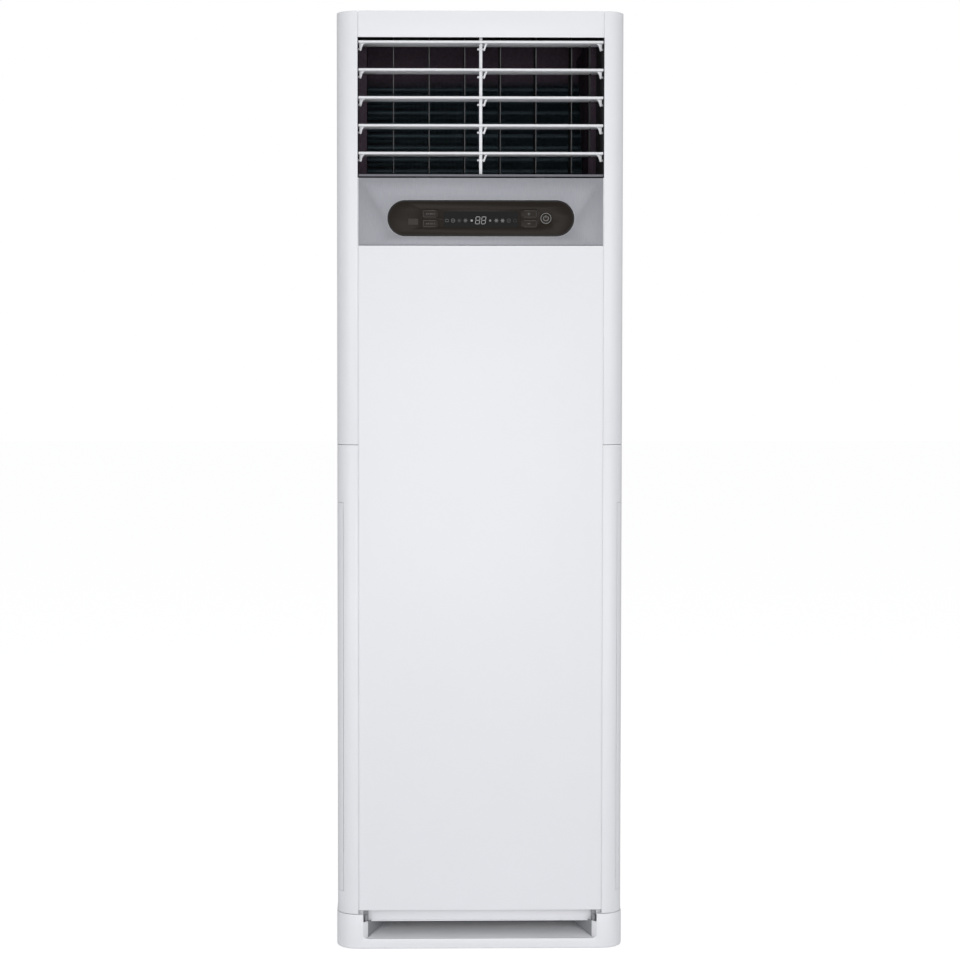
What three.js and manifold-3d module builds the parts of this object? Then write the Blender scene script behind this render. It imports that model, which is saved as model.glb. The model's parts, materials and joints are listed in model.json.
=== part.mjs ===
// Floor standing air conditioner: the indoor cabinet of a split system.
// Millimetres, +Z up, the front faces -Y, and the origin is on the floor at the footprint's centre.
// Every sub-part is one closed solid in its own named mesh, at its real place in the cabinet.

import * as THREE from 'three';
import { mergeVertices } from 'three/addons/utils/BufferGeometryUtils.js';
import Module from 'manifold-3d';

const wasm = await Module();
wasm.setup();

// ------------------------------------------------------------------ driving dimensions

// Footprint and walls
const BASE_WIDTH = 540;
const BASE_DEPTH = 400;
const BASE_PROUD = 1.5;          // the base stands out past the cabinet by this much all round
const CORNER_RADIUS = 38.5;      // plan radius of the cabinet's front corners
const REAR_RADIUS = 5;
const SHELL = 2;                 // wall of the moulded panels
const STEEL = 1;                 // wall of the folded sheet steel
const ARC_STEPS = 7;             // facets in a quarter turn of a front corner
const ROD_SIDES = 8;             // facets round a small pin and its hole
const FOOT_SIDES = 16;
const RING_SIDES = 20;           // facets round the blower's wheel, motor and inlet

// Clearances
const FIT = 0.3;                 // between pieces that seat on each other
const SEAM = 0.8;                // horizontal joints in the shell
const PILLAR_SEAM = 1.6;         // upright joints between the corners and the centre panels
const RUNNING = 0.35;            // radial play of a pin in its hole

// Base with the low air inlet
const FOOT_RADIUS = 16;
const FOOT_HEIGHT = 6;
const FOOT_INSET = 50;           // from the base's edge to a foot's centre
const FOOT_CHAMFER = 1;
const BOSS_WALL = 2;             // a foot's boss is wider than the foot by this much all round
const SKIRT_LIFT = 1;            // the skirt's lower edge above the floor
const SKIRT_WALL = 2.5;
const BASE_HEIGHT = 66.2;
const INLET_SIDE = 50;           // from the base's edge to the side of the inlet
const INLET_FLOOR = 20;
const INLET_CORNER = 9;
const INLET_BAR_BOTTOM = 49;
const INLET_BAR_HEIGHT = 21;
const INLET_BAR_SETBACK = 20;
const INLET_REVEAL = 9;          // depth of the bevelled side of the inlet's mouth
const INLET_TAPER = 42;          // how far each cheek closes in
const INLET_DEPTH = 80;

// Heights of the front, stacked up from the floor
const FRONT_PANEL_BOTTOM = 73.9;
const FRONT_PANEL_HEIGHT = 1249;
const DISPLAY_HEIGHT = 124.6;
const LEDGE_GAP = 2.7;
const LEDGE_THICKNESS = 4;
const LOW_BLADE_RISE = 39.3;     // from the ledge up to the lowest blade
const BLADE_PITCH = 51.4;
const TOP_BLADE_DROP = 8.3;      // from the apron down to the highest blade
const APRON_HEIGHT = 48.7;
const SIDE_SPLIT = 951.6;        // joint between the lower and the upper side panels

// Centre panels
const PILLAR_WIDTH = 39.1;       // front view of a corner, from its seam to the cabinet's side
const PANEL_RETURN = 12;         // how far the panels' edges fold back
const CROSSBAR_DROP = 26;        // from the joint of the front panels down to the crossbar
const CROSSBAR_HEIGHT = 32;
const CROSSBAR_DEPTH = 18;
const HOOK_SPACING = 300;
const HOOK_WIDTH = 30;
const HOOK_DROP = 12;            // below the panel's top edge

// Sides
const REAR_RETURN = 14;
const GRILLE_EDGE = 11.5;        // the grille starts this far in from the widest point
const GRILLE_BOTTOM = 108;
const GRILLE_HEIGHT = 735;
const GRILLE_BACK = 34;          // plain strip behind the grille
const GRILLE_ROWS = 6;
const GRILLE_RIB = 14;
const SLOT_COUNT = 8;
const SLOT_WIDTH = 16;
const SLOT_PITCH = 38;
const FILTER_THICKNESS = 4;
const FILTER_MARGIN = 12;
const FILTER_BORDER = 10;
const FILTER_ROWS = 4;

// Louvres in the outlet
const BLADE_COUNT = 5;
const BLADE_LEAD = 14.6;         // from a blade's front edge back to its pivot
const BLADE_CHORD = 57.4;
const BLADE_EDGE = 4.7;
const BLADE_TAIL = 1.8;
const BLADE_RISE = 12;           // a blade's mid-plane above its pivot
const BLADE_END_GAP = 2;
const PIVOT_DEPTH = 15;          // pivots behind the cabinet's front
const BLADE_CHAMFER = 0.8;
const EAR_ROOT = 8.5;
const EAR_TIP = 3.6;
const EAR_DEPTH = 8;
const PIN_RADIUS = 2;
const POST_WIDTH = 6.5;
const POST_DEPTH = 8;
const POST_SLOT = 26;            // length of the opening in a blade around the post
const POST_GAP = 1;              // from the post to a blade's arm beside it
const LINK_THICKNESS = 4;
const LINK_WIDTH = 7;
const LINK_PIN_RADIUS = 1.5;
const BLADE_LINK_X = 206.8;
const BLADE_LINK_ARM = 34;
const BLADE_NOTCH = 16;

// Outlet duct and its upright vanes
const DUCT_WALL = 2.5;
const DUCT_REVEAL = 0.4;
const DUCT_DEPTH = 134;
const DUCT_HEADROOM = 22;
const LUG_PLACE = 110;           // the duct's feet on the display panel, from the middle
const LUG_WIDTH = 20;
const VANE_COUNT = 6;
const VANE_PITCH = 67.3;
const VANE_SHIFT = 6;            // the row of vanes sits a little to the right
const VANE_PIVOT_DEPTH = 96.5;
const VANE_CHORD = 60;
const VANE_THICKNESS = 1.8;
const VANE_ARM = 22;
const CRANK_X = 202;
const CRANK_THICKNESS = 2.8;
const VANE_LINK_THICKNESS = 2.5;
const LAYER_GAP = 0.6;           // between ledge, crank, link and vanes
const VANE_MOTOR_RADIUS = 14;
const VANE_MOTOR_HEIGHT = 21;
const MOTOR_EAR_REACH = 6;       // the motor's screw ears
const MOTOR_EAR_WIDTH = 8;
const MOTOR_EAR_THICKNESS = 1.2;

// Display
const LENS_LENGTH = 348;
const LENS_HEIGHT = 67;
const LENS_RISE = 49.8;          // lens centre above the display panel's lower edge
const LENS_PROUD = 0.5;
const LENS_FLANGE = 3;
const KEY_WIDTH = 29;
const KEY_HEIGHT = 14.2;
const KEY_ROW_GAP = 4;
const KEY_RADIUS = 2.5;
const LEFT_KEYS_X = -93.6;
const RIGHT_KEYS_X = 89.2;
const POWER_KEY_X = 121.2;
const POWER_KEY_RADIUS = 10.4;
const KEY_DEPTH = 5.5;
const BOARD_LENGTH = 280;
const BOARD_HEIGHT = 56;
const BOARD_THICKNESS = 1.6;
const BOARD_STANDOFF = 3.9;
const BOARD_POST_RADIUS = 2.5;
const BOARD_POST_INSET = 7;      // from the board's edges to its posts
const SWITCH_HEIGHT = 1.7;
const SWITCH_RADIUS = 3;

// Blower
const BLOWER_X = -20;
const BLOWER_Z = 500;
const WHEEL_RADIUS = 150;
const WHEEL_THROAT = 126;        // inside of the ring of wheel blades
const WHEEL_WIDTH = 120;
const WHEEL_BLADES = 14;
const WHEEL_LEAN = 0.07;         // turn of a wheel blade from its inner to its outer edge, radians
const WHEEL_SPREAD = 0.02;       // a wheel blade's thickness, as a turn in radians
const WHEEL_RIM = 5;             // width of the wheel's two rings
const WHEEL_SETBACK = 20;        // from the housing's front to the wheel
const DISC_SETBACK = 36;         // from the wheel's front to its disc
const DISC_THICKNESS = 2;
const HUB_RADIUS = 18;
const HUB_REACH = 9;             // the hub stands out past the disc's middle on both sides
const SCROLL_START = 160;        // scroll radius at the tongue
const SCROLL_GROWTH = 75;
const TONGUE_ANGLE = 70;
const HOUSING_DEPTH = 156;
const DIFFUSER_LEFT = -140;
const DECK_HEIGHT = 940;
const DECK_LIP = 4;              // the deck's opening is this much narrower than the diffuser
const INLET_LIP = 24;            // width of the inlet ring's rolled lip
const INLET_LIP_RISE = 6;
const INLET_THROAT_DEPTH = 16;
const MOTOR_RADIUS = 58;
const MOTOR_NOSE = 6;
const MOTOR_LENGTH = 68;
const SHAFT_RADIUS = 6;
const BRACKET_RADIUS = 95;
const BRACKET_THICKNESS = 4;
const BRACKET_WINDOWS = 3;
const WINDOW_RADIUS = 14;
const WINDOW_PLACE = 72;         // from the motor's axis to a window's centre

// Evaporator
const COIL_SIDE_ROOM = 39.2;     // from the rear panel's side to the coil, for hairpins and pipes
const COIL_THICKNESS = 44;
const COIL_FOOT_DEPTH = 150;     // the coil's lower edge behind the cabinet's front
const COIL_HEAD_DEPTH = 350;
const COIL_FOOT_DROP = 322;      // lower edge below the outlet's ledge
const COIL_HEAD_DROP = 92;       // upper edge below the cabinet's top
const FIN_PITCH = 12;
const FIN_THICKNESS = 1.6;
const FIN_SPINE = 8;
const BEND_COUNT = 5;
const BEND_RADIUS = 14;
const BEND_TUBE = 5;
const PAN_DEPTH = 96;
const PAN_HEIGHT = 30;
const PAN_OVERLAP = 12;          // the pan's rim above the coil's lower edge
const SPOUT_LENGTH = 14;
const SPOUT_WALL = 2;
const HOSE_RADIUS = 9;
const HOSE_X = 150;
const GAS_RADIUS = 8;
const LIQUID_RADIUS = 5;
const PIPE_ROOM = 13;            // from the coil's end to the pipes' upright run
const PIPE_SPACING = 30;
const PIPE_TURN = 60;            // reach of the pipes' large bends
const PIPE_HEAD = 120;           // where the first pipe meets the coil, above the deck
const PIPE_STUB_RISE = 20;
const PIPE_END_GAP = 10;         // from a pipe's end to the rear panel
const SLEEVE = 2;                // room round a pipe where it passes the deck
const PIPE_FOOT = 160;           // height of the pipe holes in the rear panel
const PIPE_HOLE_SIZE = 70;        // side of each square pipe hole
const PIPE_HOLE_CORNER = 12;
const PIPE_PLATE_RISE = 122;     // top of the pipe plate over the holes' middle
const PIPE_HOLE_X = 170;

// Electrics
const BOX_LEFT = -60;
const BOX_WIDTH = 260;
const BOX_HEIGHT = 250;
const BOX_DEPTH = 66;
const BOX_SETBACK = 6;           // behind the front panels' folded edges
const MAIN_BOARD_MARGIN = 14;
const MAIN_BOARD_RISE = 70;      // leaves room for the terminals below the board
const MAIN_BOARD_STANDOFF = 8;
const MAIN_POST_RADIUS = 3;
const MAIN_POST_INSET = 8;
const CAPACITOR_RADIUS = 14;
const CAPACITOR_LENGTH = 34;
const CAPACITOR_RIGHT = 60;      // from the board's left edge
const CAPACITOR_DROP = 50;       // from the board's upper edge
const TERMINAL_COUNT = 5;
const TERMINAL_WIDTH = 70;
const TERMINAL_HEIGHT = 30;
const TERMINAL_DEPTH = 38;
const TERMINAL_INSET = 20;       // from the box's right wall
const TERMINAL_WALL = 4;
const TERMINAL_CELL_DEPTH = 11;
const TERMINAL_CELL_RISE = 12;

// ------------------------------------------------------------------ derived places

const baseHalf = BASE_WIDTH / 2;
const baseFront = -BASE_DEPTH / 2;
const baseBack = BASE_DEPTH / 2;
const cabHalf = baseHalf - BASE_PROUD;
const cabFront = baseFront + BASE_PROUD;
const cabBack = baseBack - BASE_PROUD;
const pillarEdge = cabHalf - PILLAR_WIDTH;
const centreHalf = pillarEdge - PILLAR_SEAM;
const inletHalf = baseHalf - INLET_SIDE;
const backOfPanels = cabFront + SHELL;
const rearInner = cabBack - STEEL;
const rearHalf = cabHalf - REAR_RETURN - FIT;

const shellBottom = BASE_HEIGHT + SEAM;
const frontPanelTop = FRONT_PANEL_BOTTOM + FRONT_PANEL_HEIGHT;
const displayBottom = frontPanelTop + SEAM;
const displayTop = displayBottom + DISPLAY_HEIGHT;
const ledgeBottom = displayTop + LEDGE_GAP;
const ledgeTop = ledgeBottom + LEDGE_THICKNESS;
const lowBladeZ = ledgeTop + LOW_BLADE_RISE;
const highBladeZ = lowBladeZ + (BLADE_COUNT - 1) * BLADE_PITCH;
const apronBottom = highBladeZ + TOP_BLADE_DROP;
const cabTop = apronBottom + APRON_HEIGHT;
const ductTop = highBladeZ + DUCT_HEADROOM;
const ductHalf = centreHalf + DUCT_REVEAL;
const ductFront = backOfPanels + FIT;
const ductBack = ductFront + DUCT_DEPTH;
const grilleEdge = cabHalf - GRILLE_EDGE;
const grilleBack = cabBack - GRILLE_BACK;
const grilleTop = GRILLE_BOTTOM + GRILLE_HEIGHT;
const crossbarFront = cabFront + CORNER_RADIUS + SHELL;
const housingBack = rearInner - FIT;
const housingFront = housingBack - HOUSING_DEPTH;
const deckTop = DECK_HEIGHT + STEEL;

// ------------------------------------------------------------------ finishes

const finish = (color, roughness, metalness = 0) =>
  new THREE.MeshStandardMaterial({ color, roughness, metalness });

const WHITE = finish(0xe3e4e8, 0.42);
const SILVER = finish(0x97999d, 0.4, 0.55);
const SMOKED = finish(0x2a2521, 0.12);
const KEY_BLACK = finish(0x33302c, 0.25);
const DUCT_GREY = finish(0x4a4c52, 0.6);
const VANE_GREY = finish(0x3c3d42, 0.55);
const GALVANISED = finish(0xa9adb0, 0.45, 0.8);
const ALUMINIUM = finish(0xb9c4c4, 0.35, 0.9);
const COPPER = finish(0xb87455, 0.3, 0.9);
const BLACK = finish(0x1c1c1e, 0.6);
const RUBBER = finish(0x26262a, 0.85);
const BOARD_GREEN = finish(0x1f5b3a, 0.5);
const MESH_GREY = finish(0x8d9499, 0.8);

// ------------------------------------------------------------------ shape helpers

// A closed three.js geometry as a solid that can be joined and cut.
function solid(geometry) {
  const bare = geometry.index ? geometry.toNonIndexed() : geometry.clone();
  bare.deleteAttribute('normal');
  bare.deleteAttribute('uv');
  const merged = mergeVertices(bare, 1e-4);
  return new wasm.Manifold(new wasm.Mesh({
    numProp: 3,
    vertProperties: Float32Array.from(merged.attributes.position.array),
    triVerts: Uint32Array.from(merged.index.array),
  }));
}

// A finished solid as a named mesh, placed by its own position.
function piece(name, shape, material, x = 0, y = 0, z = 0) {
  const { vertProperties, triVerts } = shape.getMesh();
  const geometry = new THREE.BufferGeometry();
  geometry.setAttribute('position', new THREE.BufferAttribute(vertProperties, 3));
  geometry.setIndex(new THREE.BufferAttribute(triVerts, 1));
  geometry.computeVertexNormals();
  const mesh = new THREE.Mesh(geometry, material);
  mesh.name = name;
  mesh.position.set(x, y, z);
  return mesh;
}

function slab([x0, x1], [y0, y1], [z0, z1]) {
  const box = new THREE.BoxGeometry(x1 - x0, y1 - y0, z1 - z0);
  return solid(box.translate((x0 + x1) / 2, (y0 + y1) / 2, (z0 + z1) / 2));
}

function extruded(points, depth) {
  return new THREE.ExtrudeGeometry(new THREE.Shape(points), { depth, bevelEnabled: false });
}

// Outlines drawn in the plan (x, y), in the front view (x, z) and in the side view (y, z).
const planPrism = (points, z0, z1) => solid(extruded(points, z1 - z0).translate(0, 0, z0));

const frontPrism = (points, y0, y1) =>
  solid(extruded(points, y1 - y0).rotateX(Math.PI / 2).translate(0, y1, 0));

function sidePrism(points, x0, x1) {
  const turn = new THREE.Matrix4().set(0, 0, 1, 0, 1, 0, 0, 0, 0, 1, 0, 0, 0, 0, 0, 1);
  return solid(extruded(points, x1 - x0).applyMatrix4(turn).translate(x0, 0, 0));
}

// Round rods along one axis, from one end to the other, through the point (a, b) across it.
function rodX(radius, x0, x1, y, z, sides = ROD_SIDES) {
  const rod = new THREE.CylinderGeometry(radius, radius, x1 - x0, sides).rotateZ(Math.PI / 2);
  return solid(rod.translate((x0 + x1) / 2, y, z));
}

function rodY(radius, y0, y1, x, z, sides = ROD_SIDES) {
  const rod = new THREE.CylinderGeometry(radius, radius, y1 - y0, sides);
  return solid(rod.translate(x, (y0 + y1) / 2, z));
}

function rodZ(radius, z0, z1, x, y, sides = ROD_SIDES) {
  const rod = new THREE.CylinderGeometry(radius, radius, z1 - z0, sides).rotateX(Math.PI / 2);
  return solid(rod.translate(x, y, (z0 + z1) / 2));
}

// A tube's outer form along a smooth route.
function routed(route, radius, steps, sides = 6) {
  const ring = new THREE.Shape(arc(0, 0, radius, 0, 2 * Math.PI, sides).slice(0, -1));
  const curve = new THREE.CatmullRomCurve3(route.map(p => new THREE.Vector3(...p)));
  return solid(new THREE.ExtrudeGeometry(ring, { extrudePath: curve, steps }));
}

function arc(cx, cy, radius, from, to, steps) {
  return Array.from({ length: steps + 1 }, (_, i) => {
    const angle = from + ((to - from) * i) / steps;
    return new THREE.Vector2(cx + radius * Math.cos(angle), cy + radius * Math.sin(angle));
  });
}

const point = (x, y) => new THREE.Vector2(x, y);

// A closed outline drawn in by the same distance on every edge.
function inset(points, distance) {
  const sign = THREE.ShapeUtils.isClockWise(points) ? -1 : 1;
  return points.map((p, i) => {
    const before = points[(i + points.length - 1) % points.length];
    const after = points[(i + 1) % points.length];
    const a = p.clone().sub(before).normalize();
    const b = after.clone().sub(p).normalize();
    const normal = point(-a.y - b.y, a.x + b.x).normalize();
    const reach = distance / (normal.x * -a.y + normal.y * a.x);
    return p.clone().addScaledVector(normal, sign * reach);
  });
}

// Plan outline of the cabinet or its base: large radii at the front, small ones behind.
function footprint(half, front, back, radius) {
  const turn = Math.PI / 2;
  return [
    ...arc(half - radius, front + radius, radius, -turn, 0, ARC_STEPS),
    ...arc(half - REAR_RADIUS, back - REAR_RADIUS, REAR_RADIUS, 0, turn, 3),
    ...arc(-half + REAR_RADIUS, back - REAR_RADIUS, REAR_RADIUS, turn, 2 * turn, 3),
    ...arc(-half + radius, front + radius, radius, 2 * turn, 3 * turn, ARC_STEPS),
  ];
}

function roundedBox(cx, cz, width, height, radius, steps = 2) {
  const turn = Math.PI / 2;
  const dx = width / 2 - radius;
  const dz = height / 2 - radius;
  return [
    ...arc(cx + dx, cz - dz, radius, -turn, 0, steps),
    ...arc(cx + dx, cz + dz, radius, 0, turn, steps),
    ...arc(cx - dx, cz + dz, radius, turn, 2 * turn, steps),
    ...arc(cx - dx, cz - dz, radius, 2 * turn, 3 * turn, steps),
  ];
}

// A range across the cabinet, measured outwards from the middle, on the side given by 1 or -1.
const across = (side, near, far) => (side > 0 ? [near, far] : [-far, -near]);

// A front panel with its four edges folded back.
function foldedPanel(z0, z1, depth) {
  const outer = slab([-centreHalf, centreHalf], [cabFront, cabFront + depth], [z0, z1]);
  const hollow = slab([-centreHalf + SHELL, centreHalf - SHELL],
    [backOfPanels, cabFront + depth + 1], [z0 + SHELL, z1 - SHELL]);
  return outer.subtract(hollow);
}

const joined = solids => solids.reduce((whole, part) => whole.add(part));
const cut = (body, tools) => tools.reduce((whole, tool) => whole.subtract(tool), body);
const FAR = 1000;                // longer than any cut

// ------------------------------------------------------------------ base and feet

const footCentres = [1, -1].flatMap(side => [
  [side * (baseHalf - FOOT_INSET), baseFront + FOOT_INSET],
  [side * (baseHalf - FOOT_INSET), baseBack - FOOT_INSET],
]);

function base() {
  const outline = footprint(baseHalf, baseFront, baseBack, CORNER_RADIUS + BASE_PROUD);
  const skirt = planPrism(outline, SKIRT_LIFT, BASE_HEIGHT)
    .subtract(planPrism(inset(outline, SKIRT_WALL), SKIRT_LIFT - 1, BASE_HEIGHT + 1));
  const deck = planPrism(inset(outline, SKIRT_WALL / 2), INLET_FLOOR - SKIRT_WALL, INLET_FLOOR);
  const bosses = footCentres.map(([x, y]) =>
    rodZ(FOOT_RADIUS + BOSS_WALL, FOOT_HEIGHT + FIT, INLET_FLOOR - 1, x, y, FOOT_SIDES));
  const mouth = frontPrism(
    roundedBox(0, INLET_FLOOR + BASE_HEIGHT / 2, 2 * inletHalf, BASE_HEIGHT, INLET_CORNER, 4),
    baseFront - 1, baseFront + SKIRT_WALL + 1);
  const shell = joined([skirt.subtract(mouth), deck, ...bosses]);
  return joined([shell, inletBar(), inletCheek(1), inletCheek(-1)]);
}

// The bar across the inlet, behind and below the front panel's lower edge.
function inletBar() {
  const reach = inletHalf - INLET_REVEAL;
  const front = baseFront + INLET_BAR_SETBACK;
  const top = INLET_BAR_BOTTOM + INLET_BAR_HEIGHT;
  return slab([-reach, reach], [front, front + SKIRT_WALL], [INLET_BAR_BOTTOM, top]);
}

// One side of the inlet: a short bevel at the mouth, then a cheek that closes in.
function inletCheek(side) {
  const line = [
    point(side * inletHalf, baseFront + SKIRT_WALL / 2),
    point(side * (inletHalf - INLET_REVEAL), baseFront + INLET_REVEAL),
    point(side * (inletHalf - INLET_REVEAL - INLET_TAPER), baseFront + INLET_DEPTH),
  ];
  const back = line.map(p => point(p.x + side * SKIRT_WALL, p.y)).reverse();
  return planPrism([...line, ...back], INLET_FLOOR - 1, INLET_BAR_BOTTOM + SKIRT_WALL);
}

function foot() {
  const profile = [
    point(0, 0),
    point(FOOT_RADIUS - FOOT_CHAMFER, 0),
    point(FOOT_RADIUS, FOOT_CHAMFER),
    point(FOOT_RADIUS, FOOT_HEIGHT),
    point(0, FOOT_HEIGHT),
  ];
  return solid(new THREE.LatheGeometry(profile, FOOT_SIDES).rotateX(Math.PI / 2));
}

const baseGroup = new THREE.Group();
baseGroup.add(piece('base', base(), WHITE));
footCentres.forEach(([x, y], i) => baseGroup.add(piece(`foot_${i + 1}`, foot(), RUBBER, x, y, 0)));

// ------------------------------------------------------------------ side shells

const cabinetOutline = footprint(cabHalf, cabFront, cabBack, CORNER_RADIUS);

function skin(z0, z1) {
  return planPrism(cabinetOutline, z0, z1)
    .subtract(planPrism(inset(cabinetOutline, SHELL), z0 - 1, z1 + 1));
}

// One side's part of the skin: the rounded front corner, the side and a fold at the back.
function sideSkin(side, z0, z1) {
  const behind = slab(across(side, 0, cabHalf - REAR_RETURN), [0, FAR], [z0 - 1, z1 + 1]);
  return beside(side, skin(z0, z1)).subtract(behind);
}

const beside = (side, shape) =>
  shape.intersect(slab(across(side, pillarEdge, FAR), [-FAR, FAR], [-FAR, 3 * FAR]));

// The upper side panel also closes the top above itself.
function upperSide(side) {
  const bottom = SIDE_SPLIT + SEAM / 2;
  const inner = planPrism(inset(cabinetOutline, SHELL), bottom - 1, cabTop - SHELL);
  const capped = planPrism(cabinetOutline, bottom, cabTop).subtract(inner);
  const behind = slab(across(side, 0, cabHalf - REAR_RETURN), [0, FAR],
    [bottom - 1, cabTop - SHELL]);
  return beside(side, capped).subtract(behind);
}

function grilleSpace(side, gap) {
  return slab(across(side, grilleEdge + gap, FAR), [-FAR, grilleBack - gap],
    [GRILLE_BOTTOM + gap, grilleTop - gap]);
}

function lowerSide(side) {
  return sideSkin(side, shellBottom, SIDE_SPLIT - SEAM / 2).subtract(grilleSpace(side, 0));
}

// The lift-off grille: rows of upright slots between ribs.
function sideGrille(side) {
  const plate = sideSkin(side, shellBottom, SIDE_SPLIT).intersect(grilleSpace(side, SEAM / 2));
  const bay = GRILLE_HEIGHT / GRILLE_ROWS;
  const middle = (cabFront + CORNER_RADIUS + grilleBack) / 2;
  const slots = [];
  for (let row = 0; row < GRILLE_ROWS; row++) {
    for (let column = 0; column < SLOT_COUNT; column++) {
      const y = middle + (column - (SLOT_COUNT - 1) / 2) * SLOT_PITCH;
      const z = GRILLE_BOTTOM + row * bay;
      slots.push(slab(across(side, cabHalf - 2 * SHELL, cabHalf + 1),
        [y - SLOT_WIDTH / 2, y + SLOT_WIDTH / 2], [z + GRILLE_RIB / 2, z + bay - GRILLE_RIB / 2]));
    }
  }
  return cut(plate, slots);
}

// The dust filter clipped behind a grille: a frame with cross bars over a thin screen.
function filter(side) {
  const outer = cabHalf - SHELL - FIT;
  const inner = outer - FILTER_THICKNESS;
  const front = cabFront + CORNER_RADIUS + FILTER_MARGIN;
  const back = grilleBack - FILTER_MARGIN;
  const bottom = GRILLE_BOTTOM + FILTER_MARGIN;
  const top = grilleTop - FILTER_MARGIN;
  const bay = (top - bottom - FILTER_BORDER) / FILTER_ROWS;
  const pockets = Array.from({ length: FILTER_ROWS }, (_, row) => slab(
    across(side, inner - 1, inner + FILTER_THICKNESS - 1),
    [front + FILTER_BORDER, back - FILTER_BORDER],
    [bottom + FILTER_BORDER + row * bay, bottom + (row + 1) * bay]));
  return cut(slab(across(side, inner, outer), [front, back], [bottom, top]), pockets);
}

const sideGroup = new THREE.Group();
for (const [side, hand] of [[-1, 'left'], [1, 'right']]) {
  sideGroup.add(piece(`upper_side_${hand}`, upperSide(side), WHITE));
  sideGroup.add(piece(`lower_side_${hand}`, lowerSide(side), WHITE));
  sideGroup.add(piece(`side_grille_${hand}`, sideGrille(side), WHITE));
  sideGroup.add(piece(`filter_${hand}`, filter(side), MESH_GREY));
}

// ------------------------------------------------------------------ top, back and front panels

function topCover() {
  const lipBack = cabFront + PANEL_RETURN / 2;
  return sidePrism([
    point(cabFront, apronBottom),
    point(lipBack, apronBottom),
    point(lipBack, apronBottom + SHELL),
    point(backOfPanels, apronBottom + SHELL),
    point(backOfPanels, cabTop - SHELL),
    point(cabBack, cabTop - SHELL),
    point(cabBack, cabTop),
    point(cabFront, cabTop),
  ], -centreHalf, centreHalf);
}

// A piece of the folded steel back, from one height to another.
function rearSheet(z0, z1) {
  const foldFront = rearInner - PANEL_RETURN;
  const rightHalf = [
    point(rearHalf, cabBack),
    point(rearHalf, foldFront),
    point(rearHalf - STEEL, foldFront),
    point(rearHalf - STEEL, rearInner),
  ];
  const outline = [...rightHalf, ...rightHalf.map(p => point(-p.x, p.y)).reverse()];
  return planPrism(outline, z0, z1);
}

const pipePlateTop = PIPE_FOOT + PIPE_PLATE_RISE;

// The back that the inner parts hang on.
function rearPanel() {
  return rearSheet(pipePlateTop + SEAM, cabTop - SHELL - FIT);
}

// The plate below it that comes off, with two holes for the pipes.
function rearPipePlate() {
  const holes = [1, -1].map(side => frontPrism(
    roundedBox(side * PIPE_HOLE_X, PIPE_FOOT, PIPE_HOLE_SIZE, PIPE_HOLE_SIZE, PIPE_HOLE_CORNER),
    rearInner - 1, cabBack + 1));
  return cut(rearSheet(shellBottom, pipePlateTop), holes);
}

// The large front panel hangs by two hooks from the crossbar.
function frontPanel() {
  const hookTop = frontPanelTop - HOOK_DROP;
  const hooks = [1, -1].map(side => slab(
    across(side, HOOK_SPACING / 2 - HOOK_WIDTH / 2, HOOK_SPACING / 2 + HOOK_WIDTH / 2),
    [backOfPanels - SHELL / 2, crossbarFront - FIT], [hookTop - SHELL, hookTop]));
  return joined([foldedPanel(FRONT_PANEL_BOTTOM, frontPanelTop, PANEL_RETURN), ...hooks]);
}

// A steel channel between the two side panels, behind the joint of the front panels.
function frontCrossbar() {
  const reach = cabHalf - SHELL - FIT;
  const bottom = displayBottom - CROSSBAR_DROP;
  const top = bottom + CROSSBAR_HEIGHT;
  const outer = slab([-reach, reach], [crossbarFront, crossbarFront + CROSSBAR_DEPTH],
    [bottom, top]);
  return outer.subtract(slab([-FAR, FAR], [crossbarFront + STEEL, FAR],
    [bottom + STEEL, top - STEEL]));
}

const panelGroup = new THREE.Group();
panelGroup.add(piece('top_cover', topCover(), WHITE));
panelGroup.add(piece('rear_panel', rearPanel(), GALVANISED));
panelGroup.add(piece('rear_pipe_plate', rearPipePlate(), GALVANISED));
panelGroup.add(piece('front_panel', frontPanel(), WHITE));
panelGroup.add(piece('front_crossbar', frontCrossbar(), GALVANISED));

// ------------------------------------------------------------------ display, keys and board

const lensZ = displayBottom + LENS_RISE;
const keyRise = (KEY_HEIGHT + KEY_ROW_GAP) / 2;
const lensBack = backOfPanels + FIT + SHELL * 0.75;
const boardFront = lensBack + BOARD_STANDOFF + FIT;

const keys = [
  { name: 'key_mode', x: LEFT_KEYS_X, z: lensZ + keyRise },
  { name: 'key_fan_speed', x: LEFT_KEYS_X, z: lensZ - keyRise },
  { name: 'key_up', x: RIGHT_KEYS_X, z: lensZ + keyRise },
  { name: 'key_down', x: RIGHT_KEYS_X, z: lensZ - keyRise },
  { name: 'key_power', x: POWER_KEY_X, z: lensZ, round: true },
];

function keyPrism(key, grow, y0, y1) {
  if (key.round) return rodY(POWER_KEY_RADIUS + grow, y0, y1, key.x, key.z, 20);
  const outline = roundedBox(key.x, key.z, KEY_WIDTH + 2 * grow, KEY_HEIGHT + 2 * grow,
    KEY_RADIUS + grow);
  return frontPrism(outline, y0, y1);
}

// The lens outline: a long pill with round ends.
function pill(grow, y0, y1) {
  const turn = Math.PI / 2;
  const radius = LENS_HEIGHT / 2 + grow;
  const reach = (LENS_LENGTH - LENS_HEIGHT) / 2;
  return frontPrism([
    ...arc(reach, lensZ, radius, -turn, turn, 2 * ARC_STEPS),
    ...arc(-reach, lensZ, radius, turn, 3 * turn, 2 * ARC_STEPS),
  ], y0, y1);
}

function displayPanel() {
  const shelf = slab([-centreHalf + SHELL, centreHalf - SHELL],
    [backOfPanels, crossbarFront - FIT], [displayBottom, displayBottom + SHELL]);
  return foldedPanel(displayBottom, displayTop, PANEL_RETURN).add(shelf)
    .subtract(pill(FIT, cabFront - 1, backOfPanels + 1));
}

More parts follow.
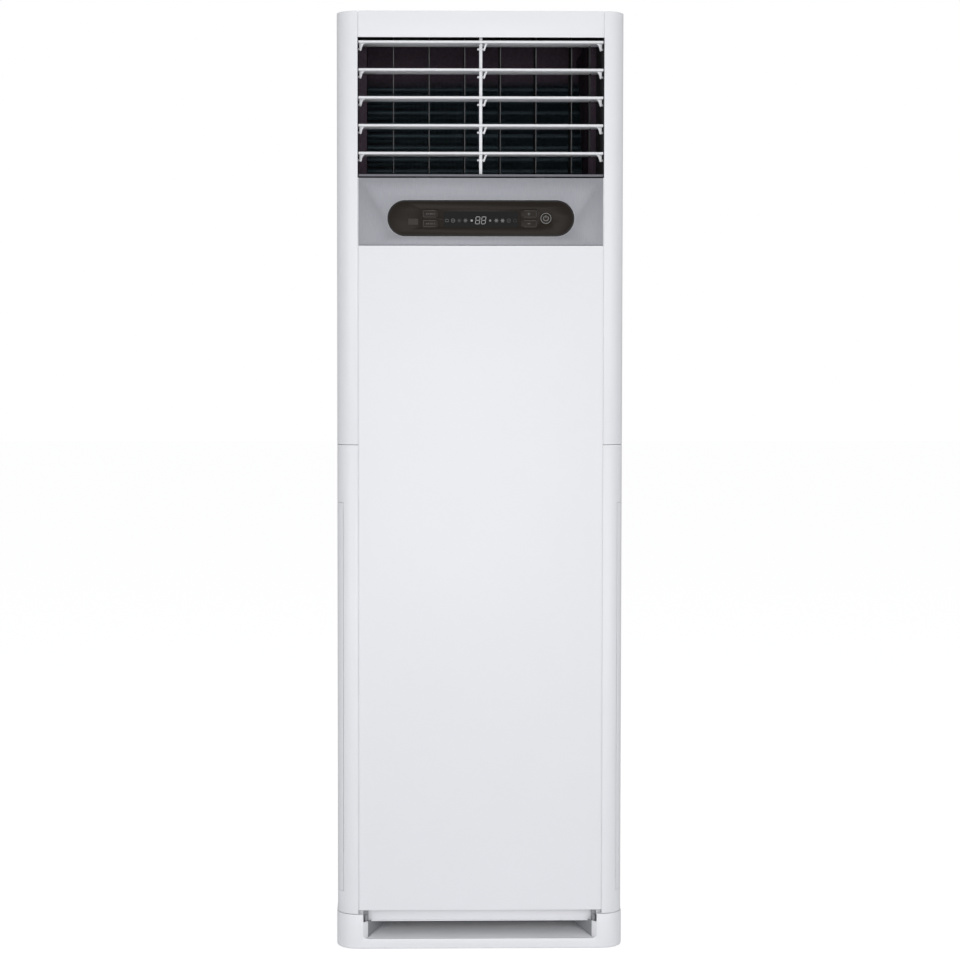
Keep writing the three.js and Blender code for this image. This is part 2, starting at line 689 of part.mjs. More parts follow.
function displayLens() {
  const face = pill(0, cabFront - LENS_PROUD, (backOfPanels + FIT + lensBack) / 2);
  const flange = pill(LENS_FLANGE, backOfPanels + FIT, lensBack);
  const posts = [1, -1].flatMap(side => [1, -1].map(level =>
    rodY(BOARD_POST_RADIUS, (backOfPanels + FIT + lensBack) / 2, lensBack + BOARD_STANDOFF,
      side * (BOARD_LENGTH / 2 - BOARD_POST_INSET),
      lensZ + level * (BOARD_HEIGHT / 2 - BOARD_POST_INSET))));
  return cut(joined([face, flange, ...posts]),
    keys.map(key => keyPrism(key, FIT, cabFront - 2, lensBack + 1)));
}

function displayBoard() {
  const board = slab([-BOARD_LENGTH / 2, BOARD_LENGTH / 2],
    [boardFront, boardFront + BOARD_THICKNESS],
    [lensZ - BOARD_HEIGHT / 2, lensZ + BOARD_HEIGHT / 2]);
  const switches = keys.map(key => rodY(SWITCH_RADIUS, boardFront - SWITCH_HEIGHT,
    boardFront + BOARD_THICKNESS / 2, key.x, key.z));
  return joined([board, ...switches]);
}

const displayGroup = new THREE.Group();
displayGroup.add(piece('display_panel', displayPanel(), SILVER));
displayGroup.add(piece('display_lens', displayLens(), SMOKED));
displayGroup.add(piece('display_board', displayBoard(), BOARD_GREEN));
for (const key of keys) {
  const front = cabFront - LENS_PROUD;
  displayGroup.add(piece(key.name, keyPrism(key, 0, front, front + KEY_DEPTH), KEY_BLACK));
}

// ------------------------------------------------------------------ outlet duct and centre post

const pivotY = cabFront + PIVOT_DEPTH;
const bladeHalf = ductHalf - BLADE_END_GAP;
const bladePivots = Array.from({ length: BLADE_COUNT },
  (_, i) => highBladeZ - i * BLADE_PITCH - BLADE_RISE);

const vanePivotY = cabFront + VANE_PIVOT_DEPTH;
const vaneXs = Array.from({ length: VANE_COUNT },
  (_, i) => VANE_SHIFT + (i - (VANE_COUNT - 1) / 2) * VANE_PITCH);
const crankZ = ledgeTop + LAYER_GAP;
const vaneLinkZ = crankZ + CRANK_THICKNESS + LAYER_GAP;
const vaneBottom = vaneLinkZ + VANE_LINK_THICKNESS + LAYER_GAP;
const vaneTop = ductTop - LAYER_GAP;

function outletDuct() {
  const outer = slab([-ductHalf - DUCT_WALL, ductHalf + DUCT_WALL], [ductFront, ductBack],
    [ledgeBottom, ductTop + DUCT_WALL]);
  const bore = slab([-ductHalf, ductHalf], [ductFront - 1, ductBack + 1], [ledgeTop, ductTop]);
  const lugs = [1, -1].map(side => slab(
    across(side, LUG_PLACE - LUG_WIDTH / 2, LUG_PLACE + LUG_WIDTH / 2),
    [ductFront + DUCT_WALL, cabFront + PANEL_RETURN],
    [displayTop + FIT, ledgeBottom + LEDGE_THICKNESS / 4]));
  const bladeHoles = bladePivots.map(z =>
    rodX(PIN_RADIUS + RUNNING, -FAR, FAR, pivotY, z));
  const vaneHoles = vaneXs.map(x =>
    rodZ(PIN_RADIUS + RUNNING, ledgeBottom - 1, ductTop + DUCT_WALL + 1, x, vanePivotY));
  const motorHole = rodZ(PIN_RADIUS + RUNNING, ledgeBottom - 1, ledgeTop + 1, CRANK_X, vanePivotY);
  return cut(joined([outer.subtract(bore), ...lugs]), [...bladeHoles, ...vaneHoles, motorHole]);
}

function centrePost() {
  const post = slab([-POST_WIDTH / 2, POST_WIDTH / 2],
    [pivotY - POST_DEPTH / 2, pivotY + POST_DEPTH / 2], [ledgeTop + FIT, ductTop - FIT]);
  return cut(post, bladePivots.map(z => rodX(PIN_RADIUS + RUNNING, -FAR, FAR, pivotY, z)));
}

const outletGroup = new THREE.Group();
outletGroup.add(piece('outlet_duct', outletDuct(), DUCT_GREY));
outletGroup.add(piece('centre_post', centrePost(), WHITE));

// ------------------------------------------------------------------ level blades and their link

// An arm that hangs from a blade and narrows towards its pin, seen from the front.
function ear(side, outer) {
  const outline = [
    point(side * outer, BLADE_RISE),
    point(side * (outer - EAR_ROOT), BLADE_RISE),
    point(side * (outer - EAR_TIP - 1), BLADE_RISE / 3),
    point(side * (outer - EAR_TIP), -PIN_RADIUS - 1),
    point(side * outer, -PIN_RADIUS - 1),
  ];
  return frontPrism(outline, -EAR_DEPTH / 2, EAR_DEPTH / 2);
}

// A blade about its own pivot axis, which runs along X through the mesh's origin.
function blade() {
  const half = BLADE_EDGE / 2;
  const tail = BLADE_CHORD - BLADE_LEAD;
  const section = [
    point(-BLADE_LEAD, BLADE_RISE - half + BLADE_CHAMFER),
    point(-BLADE_LEAD + BLADE_CHAMFER, BLADE_RISE - half),
    point(0, BLADE_RISE - half + BLADE_CHAMFER / 4),
    point(tail, BLADE_RISE - BLADE_TAIL / 2),
    point(tail, BLADE_RISE + BLADE_TAIL / 2),
    point(0, BLADE_RISE + half - BLADE_CHAMFER / 4),
    point(-BLADE_LEAD + BLADE_CHAMFER, BLADE_RISE + half),
    point(-BLADE_LEAD, BLADE_RISE + half - BLADE_CHAMFER),
  ];
  const postGap = POST_WIDTH / 2 + POST_GAP;
  const slotHalf = postGap + FIT;
  const slot = slab([-slotHalf, slotHalf], [-POST_SLOT / 2, POST_SLOT / 2], [0, 2 * BLADE_RISE]);
  const notchHalf = LINK_THICKNESS / 2 + 1;
  const notch = slab([BLADE_LINK_X - notchHalf, BLADE_LINK_X + notchHalf],
    [BLADE_LINK_ARM - BLADE_NOTCH / 2, FAR], [0, 2 * BLADE_RISE]);
  const linkPin = rodX(LINK_PIN_RADIUS, BLADE_LINK_X - notchHalf - 1, BLADE_LINK_X + notchHalf + 1,
    BLADE_LINK_ARM, BLADE_RISE);
  const endPin = side => {
    const [x0, x1] = across(side, bladeHalf - EAR_TIP, ductHalf + DUCT_WALL);
    return rodX(PIN_RADIUS, x0, x1, 0, 0);
  };
  const centrePin = rodX(PIN_RADIUS, -postGap - EAR_TIP, postGap + EAR_TIP, 0, 0);
  const centreEar = frontPrism([
    point(postGap + EAR_ROOT, BLADE_RISE),
    point(postGap + FIT, BLADE_RISE),
    point(postGap, -PIN_RADIUS - 1),
    point(postGap + EAR_TIP, -PIN_RADIUS - 1),
    point(postGap + EAR_TIP + 1, BLADE_RISE / 3),
  ], -EAR_DEPTH / 2, EAR_DEPTH / 2);
  const plate = cut(sidePrism(section, -bladeHalf, bladeHalf), [slot, notch]);
  return joined([plate, linkPin, ear(1, bladeHalf), ear(-1, bladeHalf), endPin(1), endPin(-1),
    centreEar, centrePin]);
}

// The bar that joins the blades: it keeps upright while they turn.
function bladeLink() {
  const ends = LINK_WIDTH / 2;
  const drop = (BLADE_COUNT - 1) * BLADE_PITCH;
  const bar = slab([-LINK_THICKNESS / 2, LINK_THICKNESS / 2], [-LINK_WIDTH / 2, LINK_WIDTH / 2],
    [-drop - ends, ends]);
  return cut(bar, bladePivots.map((_, i) =>
    rodX(LINK_PIN_RADIUS + RUNNING, -FAR, FAR, 0, -i * BLADE_PITCH)));
}

const bladeShape = blade();
bladePivots.forEach((z, i) =>
  outletGroup.add(piece(`blade_${i + 1}`, bladeShape, WHITE, 0, pivotY, z)));
outletGroup.add(piece('blade_link', bladeLink(), DUCT_GREY,
  BLADE_LINK_X, pivotY + BLADE_LINK_ARM, highBladeZ));

// ------------------------------------------------------------------ upright vanes and their drive

// A vane about its own pivot axis, which runs along Z through the mesh's origin.
function vane() {
  const plate = slab([-VANE_THICKNESS / 2, VANE_THICKNESS / 2], [-VANE_CHORD / 2, VANE_CHORD / 2],
    [vaneBottom, vaneTop]);
  const lowPin = rodZ(PIN_RADIUS, ledgeBottom, vaneBottom + 2, 0, 0);
  const highPin = rodZ(PIN_RADIUS, vaneTop - 2, ductTop + DUCT_WALL, 0, 0);
  const linkPin = rodZ(LINK_PIN_RADIUS, vaneLinkZ, vaneBottom + 2, 0, VANE_ARM);
  return joined([plate, lowPin, highPin, linkPin]);
}

function vaneLink() {
  const left = vaneXs[0] - LINK_WIDTH / 2;
  const right = CRANK_X + LINK_WIDTH / 2;
  const bar = slab([left, right], [-LINK_WIDTH / 2, LINK_WIDTH / 2],
    [vaneLinkZ, vaneLinkZ + VANE_LINK_THICKNESS]);
  return cut(bar, [...vaneXs, CRANK_X].map(x =>
    rodZ(LINK_PIN_RADIUS + RUNNING, vaneLinkZ - 1, vaneBottom, x, 0)));
}

// The crank sits on the motor's shaft and moves the vanes' link.
function vaneCrank() {
  const arm = slab([-LINK_WIDTH / 2, LINK_WIDTH / 2], [-LINK_WIDTH / 2, VANE_ARM + LINK_WIDTH / 2],
    [crankZ, crankZ + CRANK_THICKNESS]);
  const shaft = rodZ(PIN_RADIUS, ledgeBottom - VANE_MOTOR_HEIGHT / 2, crankZ + 1, 0, 0);
  const pin = rodZ(LINK_PIN_RADIUS, crankZ + 1, vaneLinkZ + VANE_LINK_THICKNESS, 0, VANE_ARM);
  return joined([arm, shaft, pin]);
}

function vaneMotor() {
  const top = ledgeBottom - FIT;
  const can = rodZ(VANE_MOTOR_RADIUS, top - VANE_MOTOR_HEIGHT, top, 0, 0, RING_SIDES);
  const earEnd = VANE_MOTOR_RADIUS + MOTOR_EAR_REACH;
  const ears = slab([-earEnd, earEnd], [-MOTOR_EAR_WIDTH / 2, MOTOR_EAR_WIDTH / 2],
    [top - MOTOR_EAR_THICKNESS, top]);
  const bore = rodZ(PIN_RADIUS + RUNNING, top - VANE_MOTOR_HEIGHT * 0.6, top + 1, 0, 0);
  return can.add(ears).subtract(bore);
}

const vaneShape = vane();
vaneXs.forEach((x, i) =>
  outletGroup.add(piece(`vane_${i + 1}`, vaneShape, VANE_GREY, x, vanePivotY, 0)));
outletGroup.add(piece('vane_link', vaneLink(), VANE_GREY, 0, vanePivotY + VANE_ARM, 0));
outletGroup.add(piece('vane_crank', vaneCrank(), VANE_GREY, CRANK_X, vanePivotY, 0));
outletGroup.add(piece('vane_motor', vaneMotor(), GALVANISED, CRANK_X, vanePivotY, 0));

// ------------------------------------------------------------------ blower

// Scroll and diffuser outline in the front view, growing with the wheel's turn.
function scrollOutline() {
  const steps = 20;
  const spiral = Array.from({ length: steps + 1 }, (_, i) => {
    const turned = (360 - TONGUE_ANGLE) * (1 - i / steps);
    const radius = SCROLL_START + (SCROLL_GROWTH * turned) / (360 - TONGUE_ANGLE);
    const angle = THREE.MathUtils.degToRad(TONGUE_ANGLE + turned);
    return point(BLOWER_X + radius * Math.cos(angle), BLOWER_Z + radius * Math.sin(angle));
  });
  const top = DECK_HEIGHT - FIT;
  return [point(BLOWER_X + SCROLL_START + SCROLL_GROWTH, top), ...spiral, point(DIFFUSER_LEFT, top)];
}

// The rectangle through which the blower's air rises past the deck.
function blowerOutlet(z0, z1) {
  return slab([DIFFUSER_LEFT + DECK_LIP, BLOWER_X + SCROLL_START + SCROLL_GROWTH - DECK_LIP],
    [housingFront + STEEL, housingBack - STEEL], [z0, z1]);
}

function blowerHousing() {
  const outline = scrollOutline();
  const inner = inset(outline, STEEL);
  const wall = frontPrism(outline, housingFront, housingBack)
    .subtract(frontPrism(inner, housingFront + STEEL, housingBack - STEEL));
  const inlet = rodY(WHEEL_THROAT - 2, housingFront - 1, housingFront + STEEL + 1,
    BLOWER_X, BLOWER_Z, RING_SIDES);
  return cut(wall, [blowerOutlet(DECK_HEIGHT - 10 * STEEL, DECK_HEIGHT + 1), inlet]);
}

// The rolled ring that leads air through the housing's front into the wheel.
function inletRing() {
  const lip = housingFront - FIT;
  const outer = WHEEL_THROAT - 2 - FIT;
  const inner = outer - SHELL;
  const back = housingFront + INLET_THROAT_DEPTH;
  const profile = [
    point(inner + SHELL / 2, lip - INLET_LIP_RISE),
    point(outer + INLET_LIP, lip - INLET_LIP_RISE / 2),
    point(outer + INLET_LIP, lip),
    point(outer, lip),
    point(outer, back),
    point(inner, back),
    point(inner, lip - INLET_LIP_RISE / 2),
    point(inner + SHELL / 2, lip - INLET_LIP_RISE),
  ];
  return solid(new THREE.LatheGeometry(profile, RING_SIDES));
}

const wheelFront = housingFront + WHEEL_SETBACK;
const wheelBack = wheelFront + WHEEL_WIDTH;
const discY = wheelFront + DISC_SETBACK;
const hubFront = discY - HUB_REACH;
const hubBack = discY + HUB_REACH;
const bracketFront = housingBack - STEEL - FIT - BRACKET_THICKNESS;
const motorBack = bracketFront - FIT;
const motorFront = motorBack - MOTOR_LENGTH;

// A drum of curved blades between two rings, driven by a disc and hub.
function blowerWheel() {
  const ring = (y0, y1) => rodY(WHEEL_RADIUS, y0, y1, 0, 0, RING_SIDES)
    .subtract(rodY(WHEEL_THROAT, y0 - 1, y1 + 1, 0, 0, RING_SIDES));
  const disc = rodY(WHEEL_THROAT + WHEEL_RIM, discY, discY + DISC_THICKNESS, 0, 0, RING_SIDES);
  const hub = rodY(HUB_RADIUS, hubFront, hubBack, 0, 0, RING_SIDES);
  const vanes = Array.from({ length: WHEEL_BLADES }, (_, i) => {
    const turn = (2 * Math.PI * i) / WHEEL_BLADES;
    const tip = turn + WHEEL_LEAN;
    const inner = arc(0, 0, WHEEL_THROAT + 1, turn, turn + WHEEL_SPREAD, 1);
    const outer = arc(0, 0, WHEEL_RADIUS - 2, tip + WHEEL_SPREAD, tip, 1);
    return frontPrism([...inner, ...outer], wheelFront + 1, wheelBack - 1);
  });
  const bore = rodY(SHAFT_RADIUS + FIT, hubFront - 1, hubBack + 1, 0, 0, RING_SIDES);
  const rims = [ring(wheelFront, wheelFront + WHEEL_RIM), ring(wheelBack - WHEEL_RIM, wheelBack)];
  return joined([...rims, disc, hub, ...vanes]).subtract(bore);
}

const shaftBack = motorFront + MOTOR_LENGTH / 2;

const fanShaft = () => rodY(SHAFT_RADIUS, hubFront - SHAFT_RADIUS, shaftBack, 0, 0, RING_SIDES);

function fanMotor() {
  const can = rodY(MOTOR_RADIUS, motorFront, motorBack, 0, 0, RING_SIDES);
  const nose = rodY(HUB_RADIUS, motorFront - MOTOR_NOSE, motorFront + 1, 0, 0, RING_SIDES);
  const bore = rodY(SHAFT_RADIUS + FIT, motorFront - MOTOR_NOSE - 1, shaftBack + FIT, 0, 0,
    RING_SIDES);
  return can.add(nose).subtract(bore);
}

function motorBracket() {
  const back = bracketFront + BRACKET_THICKNESS;
  const plate = rodY(BRACKET_RADIUS, bracketFront, back, 0, 0, RING_SIDES);
  const windows = Array.from({ length: BRACKET_WINDOWS }, (_, i) => {
    const angle = (2 * Math.PI * (i + 0.25)) / BRACKET_WINDOWS;
    return rodY(WINDOW_RADIUS, bracketFront - 1, back + 1,
      WINDOW_PLACE * Math.cos(angle), WINDOW_PLACE * Math.sin(angle));
  });
  return cut(plate, windows);
}

const blowerGroup = new THREE.Group();
const atBlower = [BLOWER_X, 0, BLOWER_Z];
blowerGroup.add(piece('blower_housing', blowerHousing(), GALVANISED));
blowerGroup.add(piece('inlet_ring', inletRing(), GALVANISED, ...atBlower));
blowerGroup.add(piece('blower_wheel', blowerWheel(), BLACK, ...atBlower));
blowerGroup.add(piece('fan_shaft', fanShaft(), GALVANISED, ...atBlower));
blowerGroup.add(piece('fan_motor', fanMotor(), GALVANISED, ...atBlower));
blowerGroup.add(piece('motor_bracket', motorBracket(), GALVANISED, ...atBlower));

// ------------------------------------------------------------------ evaporator, pan and pipes

const coilFootY = cabFront + COIL_FOOT_DEPTH;
const coilFootZ = ledgeBottom - COIL_FOOT_DROP;
const coilHeadY = cabFront + COIL_HEAD_DEPTH;
const coilHeadZ = cabTop - COIL_HEAD_DROP;
const coilLength = Math.hypot(coilHeadY - coilFootY, coilHeadZ - coilFootZ);
const coilLean = Math.atan2(coilHeadY - coilFootY, coilHeadZ - coilFootZ);
const coilHalf = rearHalf - COIL_SIDE_ROOM;
const panTop = coilFootZ + PAN_OVERLAP;
const panBottom = panTop - PAN_HEIGHT;
const panFront = coilFootY - PAN_DEPTH / 2;
const plateInner = coilHalf + FIT;
const pipeX = -coilHalf - PIPE_ROOM;
const spoutY = panFront + PAN_DEPTH / 4;
const spoutBottom = panBottom - SPOUT_LENGTH;

// A point on the coil: along its length and across its thickness, in the side view.
function onCoil(along, through) {
  const s = Math.sin(coilLean);
  const c = Math.cos(coilLean);
  return [coilFootY + along * s + through * c, coilFootZ + along * c - through * s];
}

// The fin pack: a spine with upright fins on its front, leaning back in the cabinet.
function evaporatorCore() {
  const count = Math.floor((2 * coilHalf) / FIN_PITCH);
  const start = -((count - 1) * FIN_PITCH) / 2;
  const front = -COIL_THICKNESS / 2;
  const root = COIL_THICKNESS / 2 - FIN_SPINE;
  const teeth = Array.from({ length: count }, (_, i) => {
    const x = start + i * FIN_PITCH;
    return [
      point(x - FIN_THICKNESS / 2, root),
      point(x - FIN_THICKNESS / 2, front),
      point(x + FIN_THICKNESS / 2, front),
      point(x + FIN_THICKNESS / 2, root),
    ];
  }).flat();
  const outline = [point(-coilHalf, root), ...teeth, point(coilHalf, root),
    point(coilHalf, COIL_THICKNESS / 2), point(-coilHalf, COIL_THICKNESS / 2)];
  const pack = extruded(outline, coilLength).rotateX(-coilLean);
  return solid(pack.translate(0, coilFootY, coilFootZ));
}

// The sheet at one end of the coil: it walls the air way from the deck up and holds the tubes.
function coilPlate(side) {
  const [footY, footZ] = onCoil(0, -COIL_THICKNESS / 2);
  const [headY, headZ] = onCoil(coilLength, -COIL_THICKNESS / 2);
  const bottom = deckTop + FIT;
  const outline = [
    point(panFront, bottom),
    point(rearInner - FIT, bottom),
    point(rearInner - FIT, headZ),
    point(headY, headZ),
    point(footY, footZ),
    point(panFront, footZ),
  ];
  const [x0, x1] = across(side, plateInner, plateInner + STEEL);
  const bends = Array.from({ length: BEND_COUNT }, (_, i) => {
    const along = (coilLength * (i + 0.5)) / BEND_COUNT;
    return tubeBend(side, along);
  });
  return joined([sidePrism(outline, x0, x1), ...bends]);
}

// A hairpin that carries the coolant from one row of tubes to the next.
function tubeBend(side, along) {
  const outer = plateInner + STEEL;
  const stops = [-0.2, 0, 0.2, 0.4, 0.6, 0.8, 1, 1.2];
  const route = stops.map(t => {
    const angle = Math.PI * Math.min(Math.max(t, 0), 1);
    const sunk = t < 0 || t > 1 ? 1 : 0;
    const [y, z] = onCoil(along - BEND_RADIUS * Math.cos(angle), 0);
    return [side * (outer - sunk + BEND_RADIUS * Math.sin(angle)), y, z];
  });
  return routed(route, BEND_TUBE, 7, 5);
}

// The pan that catches the water running off the coil, with a spout under its right end.
function drainPan() {
  const inner = coilHalf - SHELL;
  const tray = slab([-coilHalf, coilHalf], [panFront, panFront + PAN_DEPTH], [panBottom, panTop])
    .subtract(slab([-inner, inner], [panFront + SHELL, panFront + PAN_DEPTH - SHELL],
      [panBottom + SHELL, panTop + 1]));
  const spout = rodZ(HOSE_RADIUS, spoutBottom, panBottom + 1, HOSE_X, spoutY);
  const drain = rodZ(HOSE_RADIUS - SPOUT_WALL, spoutBottom - 1, panBottom + SHELL + 1,
    HOSE_X, spoutY);
  const coilGap = slab([-FAR, FAR],
    [coilFootY - COIL_THICKNESS / 2 - 2, coilFootY + COIL_THICKNESS / 2 + 10],
    [coilFootZ - COIL_THICKNESS / 2 * Math.sin(coilLean) - 1, panTop + 1]);
  return cut(joined([tray, spout]), [drain, coilGap]);
}

const pipeEnd = rearInner - PIPE_END_GAP;

function drainHose() {
  const top = spoutBottom - FIT;
  return routed([
    [HOSE_X, spoutY, top],
    [HOSE_X, spoutY, top - PIPE_TURN],
    [HOSE_X, spoutY, BLOWER_Z],
    [HOSE_X, spoutY, PIPE_FOOT + PIPE_TURN],
    [HOSE_X, spoutY + PIPE_TURN / 3, PIPE_FOOT + PIPE_TURN / 4],
    [HOSE_X, spoutY + PIPE_TURN, PIPE_FOOT],
    [HOSE_X, pipeEnd - 2 * PIPE_TURN, PIPE_FOOT],
    [HOSE_X, pipeEnd, PIPE_FOOT],
  ], HOSE_RADIUS, 16);
}

// A coolant pipe from the coil's left end down to the left hole in the rear panel.
function coolantPipe(order, radius) {
  const y = coilFootY + order * PIPE_SPACING;
  const top = deckTop + PIPE_HEAD + order * PIPE_SPACING;
  const footZ = PIPE_FOOT + (order - 0.5) * PIPE_SPACING;
  const stubZ = top + PIPE_STUB_RISE;
  const stubX = -(plateInner + STEEL + FIT);
  return routed([
    [stubX, y, stubZ],
    [stubX - 2 * STEEL, y, stubZ],
    [pipeX, y, top],
    [pipeX, y, top - 2 * PIPE_STUB_RISE],
    [pipeX, y, BLOWER_Z],
    [pipeX, y, footZ + PIPE_TURN],
    [(pipeX - PIPE_HOLE_X) / 2, y + PIPE_TURN / 3, footZ + radius],
    [-PIPE_HOLE_X, y + PIPE_TURN, footZ],
    [-PIPE_HOLE_X, pipeEnd - PIPE_TURN, footZ],
    [-PIPE_HOLE_X, pipeEnd, footZ],
  ], radius, 18);
}

const coilGroup = new THREE.Group();
coilGroup.add(piece('evaporator_core', evaporatorCore(), ALUMINIUM));
coilGroup.add(piece('coil_plate_left', coilPlate(-1), GALVANISED));
coilGroup.add(piece('coil_plate_right', coilPlate(1), GALVANISED));
coilGroup.add(piece('drain_pan', drainPan(), WHITE));
coilGroup.add(piece('drain_hose', drainHose(), MESH_GREY));
coilGroup.add(piece('gas_pipe', coolantPipe(1, GAS_RADIUS), COPPER));
coilGroup.add(piece('liquid_pipe', coolantPipe(0, LIQUID_RADIUS), COPPER));

// ------------------------------------------------------------------ deck between blower and coil

function dividerDeck() {
  const front = cabFront + PANEL_RETURN + FIT;
  const side = rearHalf - STEEL - FIT;
  const plate = slab([-side, side], [front, rearInner - FIT], [DECK_HEIGHT, deckTop]);
  const fold = slab([-centreHalf, centreHalf], [front, front + STEEL],
    [DECK_HEIGHT - PANEL_RETURN, deckTop]);
  const riser = slab([-plateInner + 2 * FIT, plateInner - 2 * FIT],
    [panFront, panFront + STEEL], [DECK_HEIGHT, panBottom - FIT]);
  const airWay = blowerOutlet(DECK_HEIGHT - 1, deckTop + 1);
  const sleeve = (radius, x, y) =>
    rodZ(radius + SLEEVE, DECK_HEIGHT - 1, deckTop + 1, x, y);
  const hoseHole = sleeve(HOSE_RADIUS, HOSE_X, spoutY);
  const pipeHoles = [[0, LIQUID_RADIUS], [1, GAS_RADIUS]].map(([order, radius]) =>
    sleeve(radius, pipeX, coilFootY + order * PIPE_SPACING));
  return cut(joined([plate, fold, riser]), [airWay, hoseHole, ...pipeHoles]);
}

const deckGroup = new THREE.Group();
deckGroup.add(piece('divider_deck', dividerDeck(), GALVANISED));

// ------------------------------------------------------------------ electrics

const boxFront = cabFront + PANEL_RETURN + BOX_SETBACK;
const boxBack = boxFront + BOX_DEPTH;
const boxBottom = deckTop + FIT;

function electricalBox() {
  const outer = slab([BOX_LEFT, BOX_LEFT + BOX_WIDTH], [boxFront, boxBack],
    [boxBottom, boxBottom + BOX_HEIGHT]);
  const hollow = slab([BOX_LEFT + SHELL, BOX_LEFT + BOX_WIDTH - SHELL],
    [boxFront - 1, boxBack - SHELL], [boxBottom + SHELL, boxBottom + BOX_HEIGHT - SHELL]);
  return outer.subtract(hollow);
}

function mainBoard() {
  const back = boxBack - SHELL - FIT;
  const front = back - MAIN_BOARD_STANDOFF;
  const left = BOX_LEFT + MAIN_BOARD_MARGIN;
  const right = BOX_LEFT + BOX_WIDTH - MAIN_BOARD_MARGIN;
  const bottom = boxBottom + MAIN_BOARD_RISE;
  const top = boxBottom + BOX_HEIGHT - MAIN_BOARD_MARGIN;
  const board = slab([left, right], [front, front + BOARD_THICKNESS], [bottom, top]);
  const posts = [left + MAIN_POST_INSET, right - MAIN_POST_INSET].flatMap(x =>
    [bottom + MAIN_POST_INSET, top - MAIN_POST_INSET].map(z =>
      rodY(MAIN_POST_RADIUS, front + BOARD_THICKNESS / 2, back, x, z)));
  const capacitor = rodY(CAPACITOR_RADIUS, front - CAPACITOR_LENGTH, front + BOARD_THICKNESS / 2,
    left + CAPACITOR_RIGHT, top - CAPACITOR_DROP, FOOT_SIDES);
  return joined([board, ...posts, capacitor]);
}

function terminalBlock() {
  const left = BOX_LEFT + BOX_WIDTH - TERMINAL_INSET - TERMINAL_WIDTH;
  const bottom = boxBottom + SHELL + FIT;
  const back = boxBack - SHELL - FIT;
  const front = back - TERMINAL_DEPTH;
  const block = slab([left, left + TERMINAL_WIDTH], [front, back],
    [bottom, bottom + TERMINAL_HEIGHT]);
  const pitch = (TERMINAL_WIDTH - TERMINAL_WALL) / TERMINAL_COUNT;
  const cells = Array.from({ length: TERMINAL_COUNT }, (_, i) => {
    const x = left + TERMINAL_WALL + i * pitch;
    return slab([x, x + pitch - TERMINAL_WALL], [front - 1, front + TERMINAL_CELL_DEPTH],
      [bottom + TERMINAL_CELL_RISE, bottom + TERMINAL_HEIGHT + 1]);
  });
  return cut(block, cells);
}

const electricsGroup = new THREE.Group();
electricsGroup.add(piece('electrical_box', electricalBox(), WHITE));
electricsGroup.add(piece('main_board', mainBoard(), BOARD_GREEN));
electricsGroup.add(piece('terminal_block', terminalBlock(), BLACK));

// ------------------------------------------------------------------ the whole cabinet

const group = new THREE.Group();
group.add(baseGroup, sideGroup, panelGroup, displayGroup, outletGroup, blowerGroup, coilGroup,
  deckGroup, electricsGroup);

export default group;
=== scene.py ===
# %% [markdown]
# # A floor standing air conditioner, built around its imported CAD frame
#
# The CAD part gives every size, every pivot and every hidden piece. This script builds the
# surfaces that are looked at: thin bent sheet with rounded corners, louvres with soft
# edges, a smoked lens with its printed marks, fins, screens and fasteners. Each new piece
# rides on the CAD body that it belongs to and stands for the CAD node it replaces.

import json
import math

import bmesh
import bpy
from mathutils import Matrix, Vector

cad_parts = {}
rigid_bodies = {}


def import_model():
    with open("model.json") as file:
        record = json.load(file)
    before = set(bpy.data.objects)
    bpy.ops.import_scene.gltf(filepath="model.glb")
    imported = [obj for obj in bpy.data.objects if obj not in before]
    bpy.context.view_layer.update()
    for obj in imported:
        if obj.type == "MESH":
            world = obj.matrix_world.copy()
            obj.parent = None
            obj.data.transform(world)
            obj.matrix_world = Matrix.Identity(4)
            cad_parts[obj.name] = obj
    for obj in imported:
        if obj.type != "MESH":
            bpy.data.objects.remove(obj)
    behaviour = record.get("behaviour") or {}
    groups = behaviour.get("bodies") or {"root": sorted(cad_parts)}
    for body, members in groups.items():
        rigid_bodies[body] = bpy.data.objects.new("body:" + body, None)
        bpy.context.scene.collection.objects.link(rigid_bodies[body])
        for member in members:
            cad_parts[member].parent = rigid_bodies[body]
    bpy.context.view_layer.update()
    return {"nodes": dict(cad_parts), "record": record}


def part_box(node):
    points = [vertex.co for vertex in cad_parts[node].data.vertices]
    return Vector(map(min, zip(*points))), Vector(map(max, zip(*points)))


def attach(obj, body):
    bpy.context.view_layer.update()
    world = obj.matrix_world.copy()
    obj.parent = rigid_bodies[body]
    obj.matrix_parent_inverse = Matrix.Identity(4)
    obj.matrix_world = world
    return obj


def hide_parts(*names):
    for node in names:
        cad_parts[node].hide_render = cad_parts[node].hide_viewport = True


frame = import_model()

# %% [markdown]
# ## Sizes
#
# All lengths below are in millimetres and are turned to metres where a mesh is made.
# The front of the cabinet looks along -Y, and Z is up from the floor.

# %% Sizes shared by several pieces
MM = 0.001
HANDS = {"left": -1, "right": 1}
HALF = 268.5          # half the cabinet's width
FRONT = -198.5        # cabinet front
BACK = 198.5          # cabinet back
CORNER = 38.5         # radius of the front corners
FOLD = 5.0            # radius of the rear corners
SHEET = 2.0           # thickness of the moulded shell
PILLAR = 229.4        # inner edge of each front pillar
CENTRE = 227.8        # half the width of the panels between the pillars
TOP = 1756.9
SPLIT = 951.6         # joint between upper and lower side panels
SIDE_GAP = 0.4        # from that joint's middle to each panel
SIDE_FOOT = 67.0      # lower edge of the side panels
PANEL_FOOT = 73.9     # lower edge of the front panel
PANEL_HEAD = 1322.9
FASCIA_FOOT = 1323.7  # lower edge of the display panel
FASCIA_HEAD = 1448.3
TRAY_DEEP = 12.0      # depth of both trays
PIVOT_Y = -183.5      # pivot line of the level blades
LENS_Z = 1373.5
